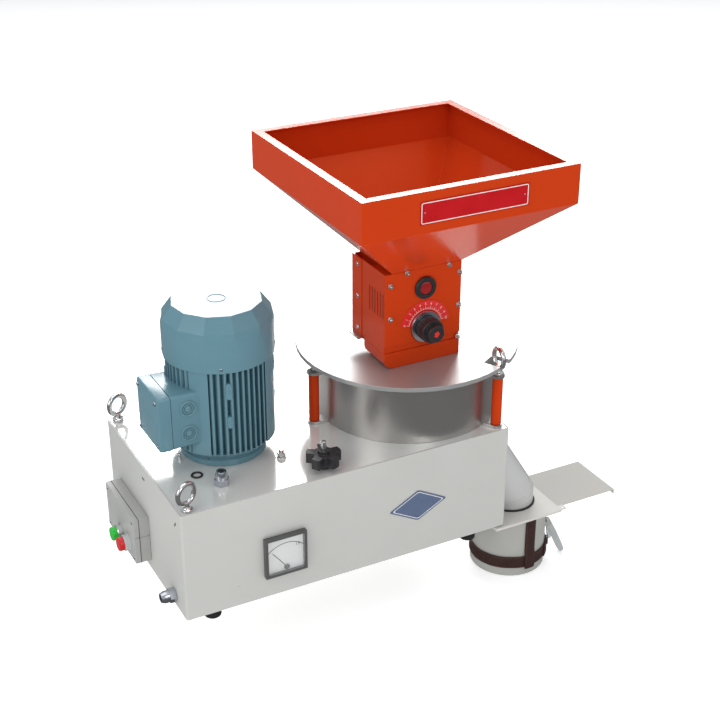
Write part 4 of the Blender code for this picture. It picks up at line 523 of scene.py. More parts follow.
# How wide each node's edges are rounded; the rest get the usual small round
NODE_EDGE = {"star_knob": 0.002, "speed_knob": 0.0008, "base_housing": 0.0012, "hopper": 0.0012,
             "control_box": 0.0015, "terminal_box": 0.002, "terminal_box_lid": 0.003, "fan_cowl": 0.0015,
             "motor_frame": 0.0008, "feeder_bracket": 0.001, "feeder_housing": 0.001, "top_cover": 0.0008,
             "motor_end_shield": 0.0015}
USUAL_EDGE = 0.0005
USUAL_TURN = 35.0
NODE_TURN = {"fan_cowl": 20.0}


def finish_nodes():
    for finish, names in NODE_FINISH.items():
        for name in names:
            for material_slot in nodes[name].material_slots:
                material_slot.material = finish


def ease_edges():
    # Packed facets come as loose flat triangles: joined, merged where flat and rounded along sharp edges.
    for name, node in nodes.items():
        mesh = node.data
        mesh.polygons.foreach_set("use_smooth", [True] * len(mesh.polygons))
        if "custom_normal" in mesh.attributes:
            mesh.attributes.remove(mesh.attributes["custom_normal"])
        weld = node.modifiers.new("weld_facets", "WELD")
        weld.merge_threshold = 0.00001
        flat = node.modifiers.new("merge_flats", "DECIMATE")
        flat.decimate_type = "DISSOLVE"
        flat.angle_limit = math.radians(0.5)
        add_bevel(node, NODE_EDGE.get(name, USUAL_EDGE), 3, NODE_TURN.get(name, USUAL_TURN))


def add_bevel(piece, width, segments=2, turn=USUAL_TURN):
    bevel = piece.modifiers.new("rounded_edges", "BEVEL")
    bevel.width = width
    bevel.segments = segments
    bevel.limit_method = "ANGLE"
    bevel.angle_limit = math.radians(turn)
    bevel.harden_normals = True


# Mesh tools

def circle(radius, count, height=0.0):
    angles = [2 * math.pi * i / count for i in range(count)]
    return [Vector((radius * math.cos(angle), radius * math.sin(angle), height)) for angle in angles]


def arc_points(radius, start, end, steps, centre=(0.0, 0.0)):
    angles = [math.radians(start + (end - start) * i / steps) for i in range(steps + 1)]
    return [(centre[0] + radius * math.cos(angle), centre[1] + radius * math.sin(angle)) for angle in angles]


def rounded_outline(half_x, half_y, radius, steps=6):
    points = []
    for side_x, side_y, start in ((1, 1, 0), (-1, 1, 90), (-1, -1, 180), (1, -1, 270)):
        centre = (side_x * (half_x - radius), side_y * (half_y - radius))
        points += arc_points(radius, start, start + 90, steps, centre)
    return points


def raised(outline, height):
    return [Vector((point[0], point[1], height)) for point in outline]


def loft(rings, closed=False):
    shape = bmesh.new()
    rows = [[shape.verts.new(point) for point in ring] for ring in rings]
    pairs = list(zip(rows, rows[1:]))
    if closed:
        pairs.append((rows[-1], rows[0]))
    for lower, upper in pairs:
        for i in range(len(lower)):
            j = (i + 1) % len(lower)
            shape.faces.new((lower[i], lower[j], upper[j], upper[i]))
    if not closed:
        shape.faces.new(list(reversed(rows[0])))
        shape.faces.new(rows[-1])
    return shape


def lathe(profile, count=ROUND, closed=False):
    return loft([circle(radius, count, height) for radius, height in profile], closed)


def slab(outline, low, high):
    return loft([raised(outline, low), raised(outline, high)])


def brick(left, right, front, rear, low, high):
    return slab([(left, front), (right, front), (right, rear), (left, rear)], low, high)


def ring_tube(inner, outer, low, high):
    return lathe([(inner, low), (outer, low), (outer, high), (inner, high)], ROUND, closed=True)


def torus(radius, bar, count, bar_count):
    angles = [2 * math.pi * i / bar_count for i in range(bar_count)]
    profile = [(radius + bar * math.cos(angle), bar * math.sin(angle)) for angle in angles]
    return lathe(profile, count, closed=True)


def make_piece(name, shapes, finish, body="frame", edge=0.0, angle=USUAL_TURN):
    # Several closed shapes, each with its own place, become one object that rides on a body.
    whole = bmesh.new()
    for shape, place in shapes:
        bmesh.ops.recalc_face_normals(shape, faces=shape.faces)
        bmesh.ops.transform(shape, matrix=place, verts=shape.verts)
        spare = bpy.data.meshes.new("spare_shape")
        shape.to_mesh(spare)
        shape.free()
        whole.from_mesh(spare)
        bpy.data.meshes.remove(spare)
    bmesh.ops.recalc_face_normals(whole, faces=whole.faces)
    mesh = bpy.data.meshes.new(name)
    whole.to_mesh(mesh)
    whole.free()
    mesh.shade_smooth()
    mesh.set_sharp_from_angle(angle=math.radians(angle))
    mesh.materials.append(finish)
    piece = bpy.data.objects.new(name, mesh)
    bpy.context.scene.collection.objects.link(piece)
    if edge:
        add_bevel(piece, edge)
    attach(piece, body)
    return piece


# Fasteners, each standing on the plane height = 0 and pointing along +Z

HEAD_COUNT = 48


def hex_head(across, height):
    # A hexagon whose corners are chamfered at the top, with a slightly dished end.
    radius = across / 2 / math.cos(math.radians(30))
    rings = [hexagon(radius, 0.0), hexagon(radius, height * 0.82)]
    for reach, level in ((across / 2, height), (across * 0.36, height), (across * 0.30, height * 0.86)):
        rings.append(circle(reach, HEAD_COUNT, level))
    return loft(rings)


def hexagon(radius, height):
    points = []
    facet = math.radians(60)
    for i in range(HEAD_COUNT):
        angle = 2 * math.pi * i / HEAD_COUNT
        reach = radius * math.cos(facet / 2) / math.cos((angle % facet) - facet / 2)
        points.append(Vector((reach * math.cos(angle), reach * math.sin(angle), height)))
    return points


def washer(inner, outer, thickness):
    return ring_tube(inner, outer, 0.0, thickness)


def socket_cap(radius, height):
    # A round cap head with a hexagon socket.
    chamfer = height * 0.15
    rings = [circle(radius, HEAD_COUNT, 0.0), circle(radius, HEAD_COUNT, height - chamfer)]
    rings += [circle(radius - chamfer, HEAD_COUNT, height), hexagon(radius * 0.55, height)]
    return loft(rings + [hexagon(radius * 0.55, height * 0.45)])


def button_head(radius, height):
    # A low dome with a hexagon socket.
    rings = [circle(radius, HEAD_COUNT, 0.0)]
    for i in range(1, 6):
        lean = math.radians(90 * i / 6)
        rings.append(circle(radius * math.cos(lean * 0.72), HEAD_COUNT, height * math.sin(lean)))
    top = height * math.sin(math.radians(75))
    return loft(rings + [hexagon(radius * 0.38, top), hexagon(radius * 0.38, top * 0.4)])


def threaded_end(radius, length, pitch=0.0012):
    # A stud end: grooves as rings, close enough to a thread at this size.
    profile = [(radius * 0.86, 0.0)]
    turns = int(length / pitch)
    for i in range(turns):
        profile += [(radius * 0.86, pitch * i), (radius, pitch * (i + 0.5))]
    profile += [(radius * 0.86, pitch * turns), (radius * 0.7, length)]
    return lathe(profile[1:], 24)


# Lifting eyes

EYE_RING = 0.022
EYE_BAR = 0.0055
EYE_TURNS = {"deck_eyebolt_front": 22.0, "deck_eyebolt_rear": 22.0, "post_eyebolt": 85.0}


def make_lifting_eyes():
    # A smooth forged ring on a turned collar stands for each faceted eyebolt.
    for node, degrees in EYE_TURNS.items():
        low, high, (x, y, z) = extent(node)
        centre = high.z - EYE_RING - EYE_BAR
        seat = centre - 0.0395
        profile = [(0.0058, low.z), (0.0058, seat), (0.0119, seat), (0.0125, seat + 0.0006),
                   (0.0125, seat + 0.0048)]
        profile += [(0.0113, seat + 0.006), (0.0092, seat + 0.0066), (0.0078, seat + 0.009)]
        profile += [(0.0066, seat + 0.0125), (0.0054, centre - EYE_RING)]
        turn = turned(degrees) @ FACE_FRONT
        shapes = [(lathe(profile, 40), at(x, y, 0.0)), (torus(EYE_RING, EYE_BAR, 72, 24),
                                                        at(x, y, centre, turn))]
        eye = make_piece(node + "_forged", shapes, bright_chrome, angle=50)
        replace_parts(eye, node)


# Base: rivets, deck nut, grommet, pin and screws underneath

def make_deck_fittings():
    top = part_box("deck_plate")[1].z + SEAT / 2
    nut = [(washer(0.0068, 0.0125, 0.0016), at(*DECK_NUT, top))]
    nut += [(hex_head(0.019, 0.010), at(*DECK_NUT, top + 0.0016))]
    nut += [(threaded_end(0.006, 0.007), at(*DECK_NUT, top + 0.0102))]
    make_piece("deck_nut", nut, bright_chrome)
    profile = [(0.0085, 0.0), (0.0130, 0.0), (0.0132, 0.0012), (0.0122, 0.0030), (0.0105, 0.0036),
               (0.0090, 0.0028)]
    profile += [(0.0083, 0.0014)]
    make_piece("deck_grommet", [(lathe(profile, 48, closed=True), at(*DECK_GROMMET, top))],
               foot_rubber, angle=60)
    profile = [(0.0034, 0.0), (0.0034, 0.0135), (0.0024, 0.015)]
    make_piece("deck_pin", [(lathe(profile, 24), at(*DECK_PIN, top))], bright_chrome)


DECK_NUT = (-0.1103, -0.1026)
DECK_GROMMET = (-0.3009, -0.0935)
DECK_PIN = (-0.3100, -0.0170)
FRONT_RIVETS = ((-0.2707, 0.1301), (-0.2708, 0.0469), (0.2925, 0.1220))
LEFT_SLOTS = ((-0.0050, 0.2240, 0.0, 0.0075), (-0.1925, 0.2180, 62.0, 0.0062))


def make_panel_rivets():
    low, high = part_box("base_housing")
    dome = [(0.0026, 0.0), (0.0024, 0.0005), (0.0016, 0.0010), (0.0007, 0.0012)]
    shapes = [(lathe(dome, 24), at(x, low.y, z, FACE_FRONT)) for x, z in FRONT_RIVETS]
    make_piece("panel_rivets", shapes, pale_enamel)
    # The left end's slots are dark slabs on the face: painted shade standing for the openings.
    shapes = []
    for y, z, lean, half in LEFT_SLOTS:
        slot = slab(rounded_outline(half, 0.0022, 0.0021), -0.0002, 0.0003)
        shapes.append((slot, at(low.x, y, z, FACE_LEFT) @ turned(lean)))
    make_piece("left_end_slot", shapes, mark_black)


def make_underside_screws():
    low, high, centre = extent("base_housing")
    from_side = 0.038
    shapes = []
    for x in (low.x + 0.025, centre.x, high.x - 0.025):
        for y in (low.y + from_side, high.y - from_side):
            shapes.append((button_head(0.0055, 0.0026), at(x, y, low.z, FACE_DOWN)))
    make_piece("underside_screws", shapes, gland_nickel)
    washers = []
    for node in ("foot_front_left", "foot_front_right", "foot_rear_left", "foot_rear_right"):
        low, high, (x, y, z) = extent(node)
        groove = low.z + (high.z - low.z) * 0.45
        washers.append((torus((high.x - low.x) / 2, 0.0011, 40, 10), at(x, y, groove)))
    make_piece("foot_ribs", washers, foot_rubber, angle=60)


# Motor: knock-outs, tie bolts, cowl screws and grille ring

def make_motor_fittings():
    shapes = []
    for x, z in KNOCK_OUTS:
        place = at(x, TERMINAL_FRONT, z, FACE_FRONT)
        shapes.append((torus(0.0160, 0.0023, 56, 14), place))
        shapes.append((torus(0.0098, 0.0014, 48, 12), place))
        shapes.append((lathe([(0.0070, -0.0002), (0.0070, 0.0010), (0.0062, 0.0018)], 40), place))
    make_piece("terminal_knock_outs", shapes, motor_enamel, angle=50)
    shapes = []
    inset = 0.012
    for y in (TERMINAL_FRONT + inset, TERMINAL_REAR - inset):
        for z in (TERMINAL_FOOT + inset, TERMINAL_TOP - inset):
            shapes.append((socket_cap(0.0042, 0.0035), at(TERMINAL_LEFT, y, z, FACE_LEFT)))
    make_piece("terminal_lid_screws", shapes, gland_nickel)
    axis = extent("motor_frame")[2]
    cowl_low, cowl_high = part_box("fan_cowl")
    bosses, caps, screws = [], [], []
    for i in range(4):
        for height, half_wide, half_tall in FIN_BOSSES:
            place = round_motor(axis, height, BOSS_ANGLE + 90 * i, BOSS_REACH)
            bosses.append((slab(rounded_outline(half_tall, half_wide, half_wide * 0.9), -0.020, 0.0), place))
            bolt = [(half_wide * 0.45, -0.001), (half_wide * 0.45, 0.0012), (half_wide * 0.3, 0.0016)]
            bosses.append((lathe(bolt, 24), place))
        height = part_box("motor_end_shield")[1].z - 0.022
        caps.append((socket_cap(0.0036, 0.0030), round_motor(axis, height, 45 + 90 * i, 0.0915)))
        reach = (cowl_high.x - cowl_low.x) / 2 - 0.0006
        place = round_motor(axis, cowl_low.z + 0.009, -20 + 90 * i, reach)
        screws.append((button_head(0.0040, 0.0020), place))
    make_piece("fin_bosses", bosses, motor_enamel, edge=0.0012)
    make_piece("shield_screws", caps, motor_enamel)
    make_piece("cowl_screws", screws, gland_nickel)
    ring = torus(COWL_RING, 0.0010, 72, 12)
    make_piece("cowl_centre_ring", [(ring, at(axis.x, axis.y, cowl_high.z))], motor_enamel, angle=60)


def round_motor(axis, height, degrees, reach):
    return at(axis.x, axis.y, height) @ turned(degrees) @ at(reach, 0.0, 0.0, FACE_OUT)


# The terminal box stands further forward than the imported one, so both knock-outs show beside the fins
TERMINAL_FRONT = -0.0820
TERMINAL_REAR = 0.0440
TERMINAL_FOOT = 0.3200
TERMINAL_TOP = 0.4440
TERMINAL_LEFT = -0.3725
TERMINAL_SEAM = -0.3450
TERMINAL_ROOT = -0.2550
KNOCK_OUTS = ((-0.3072, 0.4105), (-0.3073, 0.3530))
BOSS_ANGLE = -103.0
BOSS_REACH = 0.1165
FIN_BOSSES = ((0.4440, 0.0066, 0.0185), (0.3720, 0.0058, 0.0135))
COWL_RING = 0.0190


def make_terminal_box():
    # A cast box with a domed-edge lid; the seam between them is a narrow groove.
    half_y = (TERMINAL_REAR - TERMINAL_FRONT) / 2
    half_z = (TERMINAL_TOP - TERMINAL_FOOT) / 2
    middle_y = (TERMINAL_FRONT + TERMINAL_REAR) / 2
    place = at(TERMINAL_LEFT, middle_y, (TERMINAL_FOOT + TERMINAL_TOP) / 2, FACE_LEFT)
    seam = TERMINAL_SEAM - TERMINAL_LEFT
    lid = ((0.0, seam), (0.0, 0.0040), (0.0008, 0.0018), (0.0022, 0.0005), (0.0042, 0.0))
    box = ((0.0022, seam - 0.002), (0.0022, seam + 0.0012), (0.0002, seam + 0.0018),
           (0.0012, TERMINAL_ROOT - TERMINAL_LEFT))
    for name, node, steps, corner, ease in (("terminal_lid_cast", "terminal_box_lid", lid, 0.0055, 0.5),
                                            ("terminal_box_cast", "terminal_box", box, 0.008, 0.0)):
        rings = []
        for inset, depth in steps:
            outline = rounded_outline(half_y - inset, half_z - inset, corner - inset * ease)
            rings.append(raised(outline, -depth))
        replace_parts(make_piece(name, [(loft(rings), place)], motor_enamel, angle=50), node)


# Mill: post bolts

def make_post_bolts():
    shapes = []
    for node in ("clamp_post_left", "clamp_post_rear"):
        low, high, (x, y, z) = extent(node)
        shapes.append((hex_head(0.013, 0.006), at(x, y, high.z + 0.0066)))
    make_piece("post_bolts", shapes, bright_chrome)


# Feeder: screws, knob trim, dial marks

COVER_SCREWS = ((0.1405, 0.6087), (0.1405, 0.5325), (0.3090, 0.6092), (0.3090, 0.5331), (0.3090, 0.4569),
                (0.1807, 0.6308), (0.2826, 0.6308))
FLANGE_SCREWS = (0.6190, 0.5440, 0.4690)
FLANGE_SCREW_ROW = -0.0040
FLANGE_STEP = 0.0020
KNOB_FLUTES = 30
FLUTE_REACH = 0.0262


def make_feeder_screws():
    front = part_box("feeder_front_cover")[0].y
    shapes = []
    for x, z in COVER_SCREWS:
        place = at(x, front, z, FACE_FRONT)
        shapes.append((washer(0.0030, 0.0060, 0.0010), place))
        shapes.append((hex_head(0.0086, 0.0034), place @ at(0.0, 0.0, 0.0010)))
        shapes.append((threaded_end(0.0025, 0.0052, 0.0008), place @ at(0.0, 0.0, 0.0040)))
    make_piece("cover_screws", shapes, bright_chrome, edge=0.0002)
    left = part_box("feeder_housing")[0].x
    shapes = [(button_head(0.0048, 0.0026), at(left, FLANGE_SCREW_ROW, z, FACE_LEFT)) for z in FLANGE_SCREWS]
    make_piece("flange_screws", shapes, bright_chrome)


# The louvres: dark slots, painted shade standing for the openings, with a pressed lip on one side, on a thin
# patch that lies on the feeder's left side
LOUVRE_COUNT = 6
LOUVRE_FIRST = -0.1175
LOUVRE_PITCH = 0.0121
LOUVRE_MIDDLE = 0.5610
LOUVRE_HALF_TALL = 0.0285
LOUVRE_HALF_WIDE = 0.0019
LOUVRE_PATCH = 0.0003


def make_louvres():
    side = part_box("feeder_housing")[0].x + FLANGE_STEP
    middle_y = LOUVRE_FIRST + LOUVRE_PITCH * (LOUVRE_COUNT - 1) / 2
    half_y = LOUVRE_PITCH * (LOUVRE_COUNT - 1) / 2 + 0.0055
    patch = slab(rounded_outline(half_y, LOUVRE_HALF_TALL + 0.0030, 0.004), 0.0, LOUVRE_PATCH)
    make_piece("louvre_patch", [(patch, at(side, middle_y, LOUVRE_MIDDLE, FACE_LEFT))],
               orange_gloss, edge=0.00015)
    slots = []
    lips = []
    for i in range(LOUVRE_COUNT):
        place = at(side, LOUVRE_FIRST + LOUVRE_PITCH * i, LOUVRE_MIDDLE, FACE_LEFT)
        outline = rounded_outline(LOUVRE_HALF_WIDE, LOUVRE_HALF_TALL, 0.0018)
        # Each slot is a dark slab just proud of the patch: painted shade standing for the opening.
        slots.append((slab(outline, LOUVRE_PATCH - 0.0001, LOUVRE_PATCH + 0.0001), place))
        lip = brick(-0.0005, 0.0005, -LOUVRE_HALF_TALL + 0.002, LOUVRE_HALF_TALL - 0.002, 0.0, 0.0012)
        lips.append((lip, place @ at(LOUVRE_HALF_WIDE + 0.0005, 0.0, 0.0)))
    make_piece("louvre_slots", slots, painted_slot_shade)
    make_piece("louvre_lips", lips, orange_gloss, edge=0.0003)


def make_speed_knob_trim():
    low, high, (x, y, z) = extent("speed_knob")
    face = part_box("feeder_front_cover")[0].y - SEAT
    place = at(x, face, z, FACE_FRONT)
    skirt = (high.x - low.x) / 2
    profile = [(skirt + 0.0002, 0.0004), (skirt + 0.0009, 0.0006), (skirt + 0.0009, 0.0030)]
    profile += [(skirt - 0.0006, 0.0066), (0.0272, 0.0070), (0.0272, 0.0062), (skirt - 0.0010, 0.0060)]
    make_piece("knob_skirt_ring", [(lathe(profile, FINE_ROUND, closed=True), place)], gland_nickel,
               body="knob")
    flutes = []
    for i in range(KNOB_FLUTES):
        angle = 2 * math.pi * i / KNOB_FLUTES
        flute = lathe([(0.0009, 0.0090), (0.0012, 0.0100), (0.0012, 0.0320), (0.0009, 0.0330)], 8)
        flutes.append((flute, place @ at(FLUTE_REACH * math.cos(angle), FLUTE_REACH * math.sin(angle), 0)))
    make_piece("knob_grip", flutes, knob_black, body="knob", angle=60)
    arrow = [(-0.0045, -0.0060), (0.0045, -0.0060), (0.0045, 0.0010), (0.0075, 0.0010), (0.0, 0.0085)]
    arrow += [(-0.0075, 0.0010), (-0.0045, 0.0010)]
    tip = at(x, face - (face - low.y), z, FACE_FRONT) @ turned(-20)
    make_piece("knob_mark", [(slab(arrow, -0.0002, 0.0004), tip)], dial_red, body="knob")


def text_mesh(words, size):
    curve = bpy.data.curves.new("number_shape", "FONT")
    curve.body = words
    curve.size = size
    curve.align_x = "CENTER"
    curve.align_y = "CENTER"
    curve.extrude = 0.00018
    made = bpy.data.objects.new("number_shape", curve)
    bpy.context.scene.collection.objects.link(made)
    bpy.context.view_layer.update()
    mesh = bpy.data.meshes.new_from_object(made)
    shape = bmesh.new()
    shape.from_mesh(mesh)
    bpy.data.meshes.remove(mesh)
    bpy.data.objects.remove(made)
    bpy.data.curves.remove(curve)
    return shape


DIAL_DIVISIONS = 10
DIAL_START = 168.0
DIAL_END = 12.0
DIAL_RADIUS = 0.0405
NUMBER_RADIUS = 0.0520


def make_dial_marks():
    x, y, z = extent("speed_knob")[2]
    place = at(x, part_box("dial_plate")[0].y, z, FACE_FRONT)
    shapes = []
    steps = DIAL_DIVISIONS * 2
    for i in range(steps + 1):
        angle = math.radians(DIAL_START + (DIAL_END - DIAL_START) * i / steps)
        length = 0.0055 if i % 2 == 0 else 0.0032
        tick = brick(DIAL_RADIUS, DIAL_RADIUS + length, -0.00045, 0.00045, -0.0001, 0.00035)
        shapes.append((tick, place @ Matrix.Rotation(angle, 4, "Z")))
    rim = arc_points(DIAL_RADIUS, DIAL_END, DIAL_START, 48) + arc_points(0.0398, DIAL_START, DIAL_END, 48)
    shapes.append((slab(rim, -0.0001, 0.00035), place))
    for i in range(DIAL_DIVISIONS + 1):
        degrees = DIAL_START + (DIAL_END - DIAL_START) * i / DIAL_DIVISIONS
        number = text_mesh(str(i), 0.0078)
        shapes.append((number, place @ turned(degrees - 90) @ at(0.0, NUMBER_RADIUS, 0.0001)))
    make_piece("dial_marks", shapes, mark_pink)


# Hopper: name plate border and rivets; the front's badge

def border(outer_x, outer_y, width, radius, thickness):
    rings = []
    for inset, height in ((0.0, 0.0), (0.0, thickness), (width, thickness), (width, 0.0)):
        rings.append(raised(rounded_outline(outer_x - inset, outer_y - inset, radius - inset), height))
    return loft(rings, closed=True)


def make_name_plate_border():
    low, high, (x, y, z) = extent("name_plate")
    half_x = (high.x - low.x) / 2 - 0.0020
    half_z = (high.z - low.z) / 2 - 0.0020
    place = at(x, low.y + 0.0001, z, FACE_FRONT)
    make_piece("name_plate_border", [(border(half_x, half_z, 0.0016, 0.0040, 0.0005), place)], mark_white)
    dome = [(0.0019, 0.0), (0.0018, 0.0006), (0.0010, 0.0012), (0.0004, 0.0013)]
    shapes = [(lathe(dome, 20), place @ at(side * (half_x - 0.008), 0.0, 0.0)) for side in (-1, 1)]
    make_piece("name_plate_rivets", shapes, gland_nickel)


BADGE_CENTRE = (0.1587, 0.1213)
BADGE_HALF = (0.0725, 0.0390)
BADGE_CORNER = 0.006


def make_badge():
    # A plain diamond plate with a thin border, where the front carries a badge.
    x, z = BADGE_CENTRE
    half_x, half_z = BADGE_HALF
    place = at(x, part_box("base_housing")[0].y - SEAT / 2, z, FACE_FRONT)
    plate, outer, inner = (diamond(half_x - inset * half_x / half_z, half_z - inset)
                           for inset in (0.0, 0.004, 0.0055))
    make_piece("badge_plate", [(slab(plate, 0.0, 0.0010), place)], badge_blue, edge=0.0003)
    rings = [raised(outer, 0.0009), raised(outer, 0.0013), raised(inner, 0.0013), raised(inner, 0.0009)]
    make_piece("badge_border", [(loft(rings, closed=True), place)], mark_white)


def diamond(half_x, half_z):
    points = []
    corners = [Vector((half_x, 0.0)), Vector((0.0, half_z)), Vector((-half_x, 0.0)), Vector((0.0, -half_z))]
    for i, point in enumerate(corners):
        before = (corners[i - 1] - point).normalized()
        after = (corners[(i + 1) % 4] - point).normalized()
        for step in range(7):
            share = step / 6
            near = point + before * BADGE_CORNER * (1 - share)
            far = point + after * BADGE_CORNER * share
            blend = near * (1 - share) + far * share
            points.append((blend.x, blend.y))
    return points


# Ammeter: card, scale, numbers, hub and glass

METER_SWEEP = (128.0, 45.0)
METER_SCALE = (0.0605, 0.0589)
METER_PIVOT = (0.0025, -0.0334)
METER_NUMBER = (0.0285, 0.0165)
METER_TICKS = 15


def make_ammeter_details():
    low, high, (x, y, z) = extent("ammeter_case")
    needle_low, needle_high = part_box("ammeter_needle")
    back = needle_high.y + 0.00015
    half = 0.0415
    make_piece("meter_card", [(brick(-half, half, -half, half, 0.0, 0.00012), at(x, back, z, FACE_FRONT))],
               face_card)
    pivot_x = x + METER_PIVOT[0]
    pivot_z = z + METER_PIVOT[1]
    place = at(pivot_x, back - 0.00012, pivot_z, FACE_FRONT)
    start, end = METER_SWEEP
    outer, inner = METER_SCALE
    band = arc_points(outer, end, start + 6, 40) + arc_points(inner, start + 6, end, 40)
    shapes = [(slab(band, 0.0, 0.00010), place)]
    for i in range(METER_TICKS + 1):
        degrees = start + 4 + (end - start - 4) * i / METER_TICKS
        length = 0.0048 if i % 5 == 0 else 0.0028
        tick = brick(outer, outer + length * 0.5, -0.0003, 0.0003, 0.0, 0.0001)
        shapes.append((tick, place @ turned(degrees)))
    make_piece("meter_scale", shapes, mark_black)
    number = at(x + METER_NUMBER[0], back - 0.0002, z + METER_NUMBER[1], FACE_FRONT)
    make_piece("meter_number", [(text_mesh("15", 0.0115), number)], mark_black)
    hub = lathe([(0.0062, 0.0), (0.0062, 0.0012), (0.0050, 0.0019), (0.0020, 0.0021)], 32)
    make_piece("meter_hub", [(hub, at(pivot_x, needle_low.y - SEAT, pivot_z, FACE_FRONT))], bezel_grey)
    half = 0.0417
    pane = brick(-half, half, -half, half, 0.0, 0.0012)
    make_piece("meter_glass", [(pane, at(x, low.y + 0.0017, z, FACE_FRONT))], meter_pane)


# Control box: button collars and cover screws

def make_control_trim():
    low, high, (x, y, z) = extent("control_box")
    for node, finish in (("start_button", bright_chrome), ("stop_button", latch_grey)):
        button_low, button_high, centre = extent(node)
        head = (button_high.y - button_low.y) / 2
        profile = [(head + 0.0004, 0.0), (head + 0.0040, 0.0), (head + 0.0040, 0.0030),
                   (head + 0.0022, 0.0042)]
        profile += [(head + 0.0022, 0.0120), (head + 0.0012, 0.0134), (head + 0.0004, 0.0134)]
        place = at(low.x, centre.y, centre.z, FACE_LEFT)
        make_piece(node + "_collar", [(lathe(profile, FINE_ROUND, closed=True), place)], finish)
    inset = 0.010
    shapes = []
    for side_y in (low.y + inset, high.y - inset):
        for side_z in (low.z + inset, high.z - inset):
            shapes.append((button_head(0.0038, 0.0018), at(low.x, side_y, side_z, FACE_LEFT)))
    make_piece("control_box_screws", shapes, gland_nickel)
    place = at(low.x + (high.x - low.x) * 0.34, y, z, FACE_LEFT)
    wide = (high.y - low.y) / 2 + 0.0006
    tall = (high.z - low.z) / 2 + 0.0006
    rings = []
    for out, height in ((0.0, -0.0005), (0.0, 0.0005), (-0.0012, 0.0005), (-0.0012, -0.0005)):
        rings.append(raised(rounded_outline(wide + out, tall + out, 0.002), height))
    make_piece("control_box_seal", [(loft(rings, closed=True), place)], foot_rubber)


def make_gland_seals():
    profile = [(0.0030, -0.012), (0.0071, -0.012), (0.0071, -0.0006), (0.0062, 0.0006), (0.0038, 0.0006)]
    profile += [(0.0030, -0.0006)]
    low, high, centre = extent("deck_gland")
    deck_place = at(centre.x, centre.y, high.z)
    low, high, centre = extent("end_gland")
    end_place = at(low.x, centre.y, centre.z, FACE_LEFT)
    for name, place in (("deck_gland_seal", deck_place), ("end_gland_seal", end_place)):
        make_piece(name, [(lathe(profile, 32, closed=True), place)], foot_rubber)


# Outlet: gasket, strap, buckle plate

def make_outlet_gasket():
    low, high, centre = extent("outlet_duct")
    outer = (high.y - low.y) / 2
    profile = [(outer + 0.0003, 0.0), (outer + 0.0042, 0.0), (outer + 0.0042, 0.0014),
               (outer + 0.0024, 0.0034)]
    profile += [(outer + 0.0003, 0.0036)]
    place = at(high.x - outer, centre.y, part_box("gate_frame")[1].z + 0.0001)
    make_piece("duct_gasket", [(lathe(profile, 72, closed=True), place)], foot_rubber, angle=60)


STRAP_THICK = 0.0030
STRAP_WIDTH = 0.0310
STITCH_PITCH = 0.0056
STITCH_INSET = 0.0032
TAIL_AT = -88.0
TAIL_HALF_WIDTH = 0.0140
TAIL_CLEAR = 10.0
LATCH_AT = -20.0
LATCH_PIVOT = (0.5577, -0.1682, -0.0767)
LAP_START = LATCH_AT - 34
LAP_END = LATCH_AT + 6


def strap_section(width, thick):
    # A flat section with softly rolled edges and a slight crown.
    section = []
    steps = 10
    edge = thick / 2
    for side in (1, -1):
        for i in range(steps + 1):
            angle = math.radians(180 * i / steps - 90 * side)
            along = side * (width / 2 - edge) + edge * math.cos(angle)
            section.append((edge * math.sin(angle) + 0.0003 * (1 - (2 * along / width) ** 2), along))
    return section


def band_shape(radius, width, thick, start, end, count):
    # Swept round the sleeve from one angle to another; a full turn closes on itself.
    full = abs(end - start) >= 360
    rings = []
    for i in range(count if full else count + 1):
        angle = math.radians(start + (end - start) * i / count)
        sway = 0.0004 * math.sin(5 * angle) + 0.0003 * math.sin(9 * angle + 1.0)
        ring = []
        for depth, along in strap_section(width, thick):
            reach = radius + depth
            ring.append(Vector((reach * math.cos(angle), reach * math.sin(angle), along + sway)))
        rings.append(ring)
    return loft(rings, closed=full)


def tail_shape(path, thick):
    # A strip that hangs down the sleeve: (radius, height, half width) points, laid round the sleeve's curve.
    rings = []
    spread = 9
    for radius, height, half in path:
        ring = []
        for order in (1, -1):
            for i in range(spread):
                share = order * (-1 + 2 * i / (spread - 1))
                angle = math.radians(TAIL_AT) + share * half / radius
                edge = 0.45 * thick / 2 if abs(share) == 1 else 0.0
                reach = radius + order * thick / 2 - order * edge
                ring.append(Vector((reach * math.cos(angle), reach * math.sin(angle), height)))
        rings.append(ring)
    return loft(rings)


def stitch():
    return lathe([(0.00018, -0.0016), (0.00042, -0.0011), (0.00042, 0.0011), (0.00018, 0.0016)], 8)


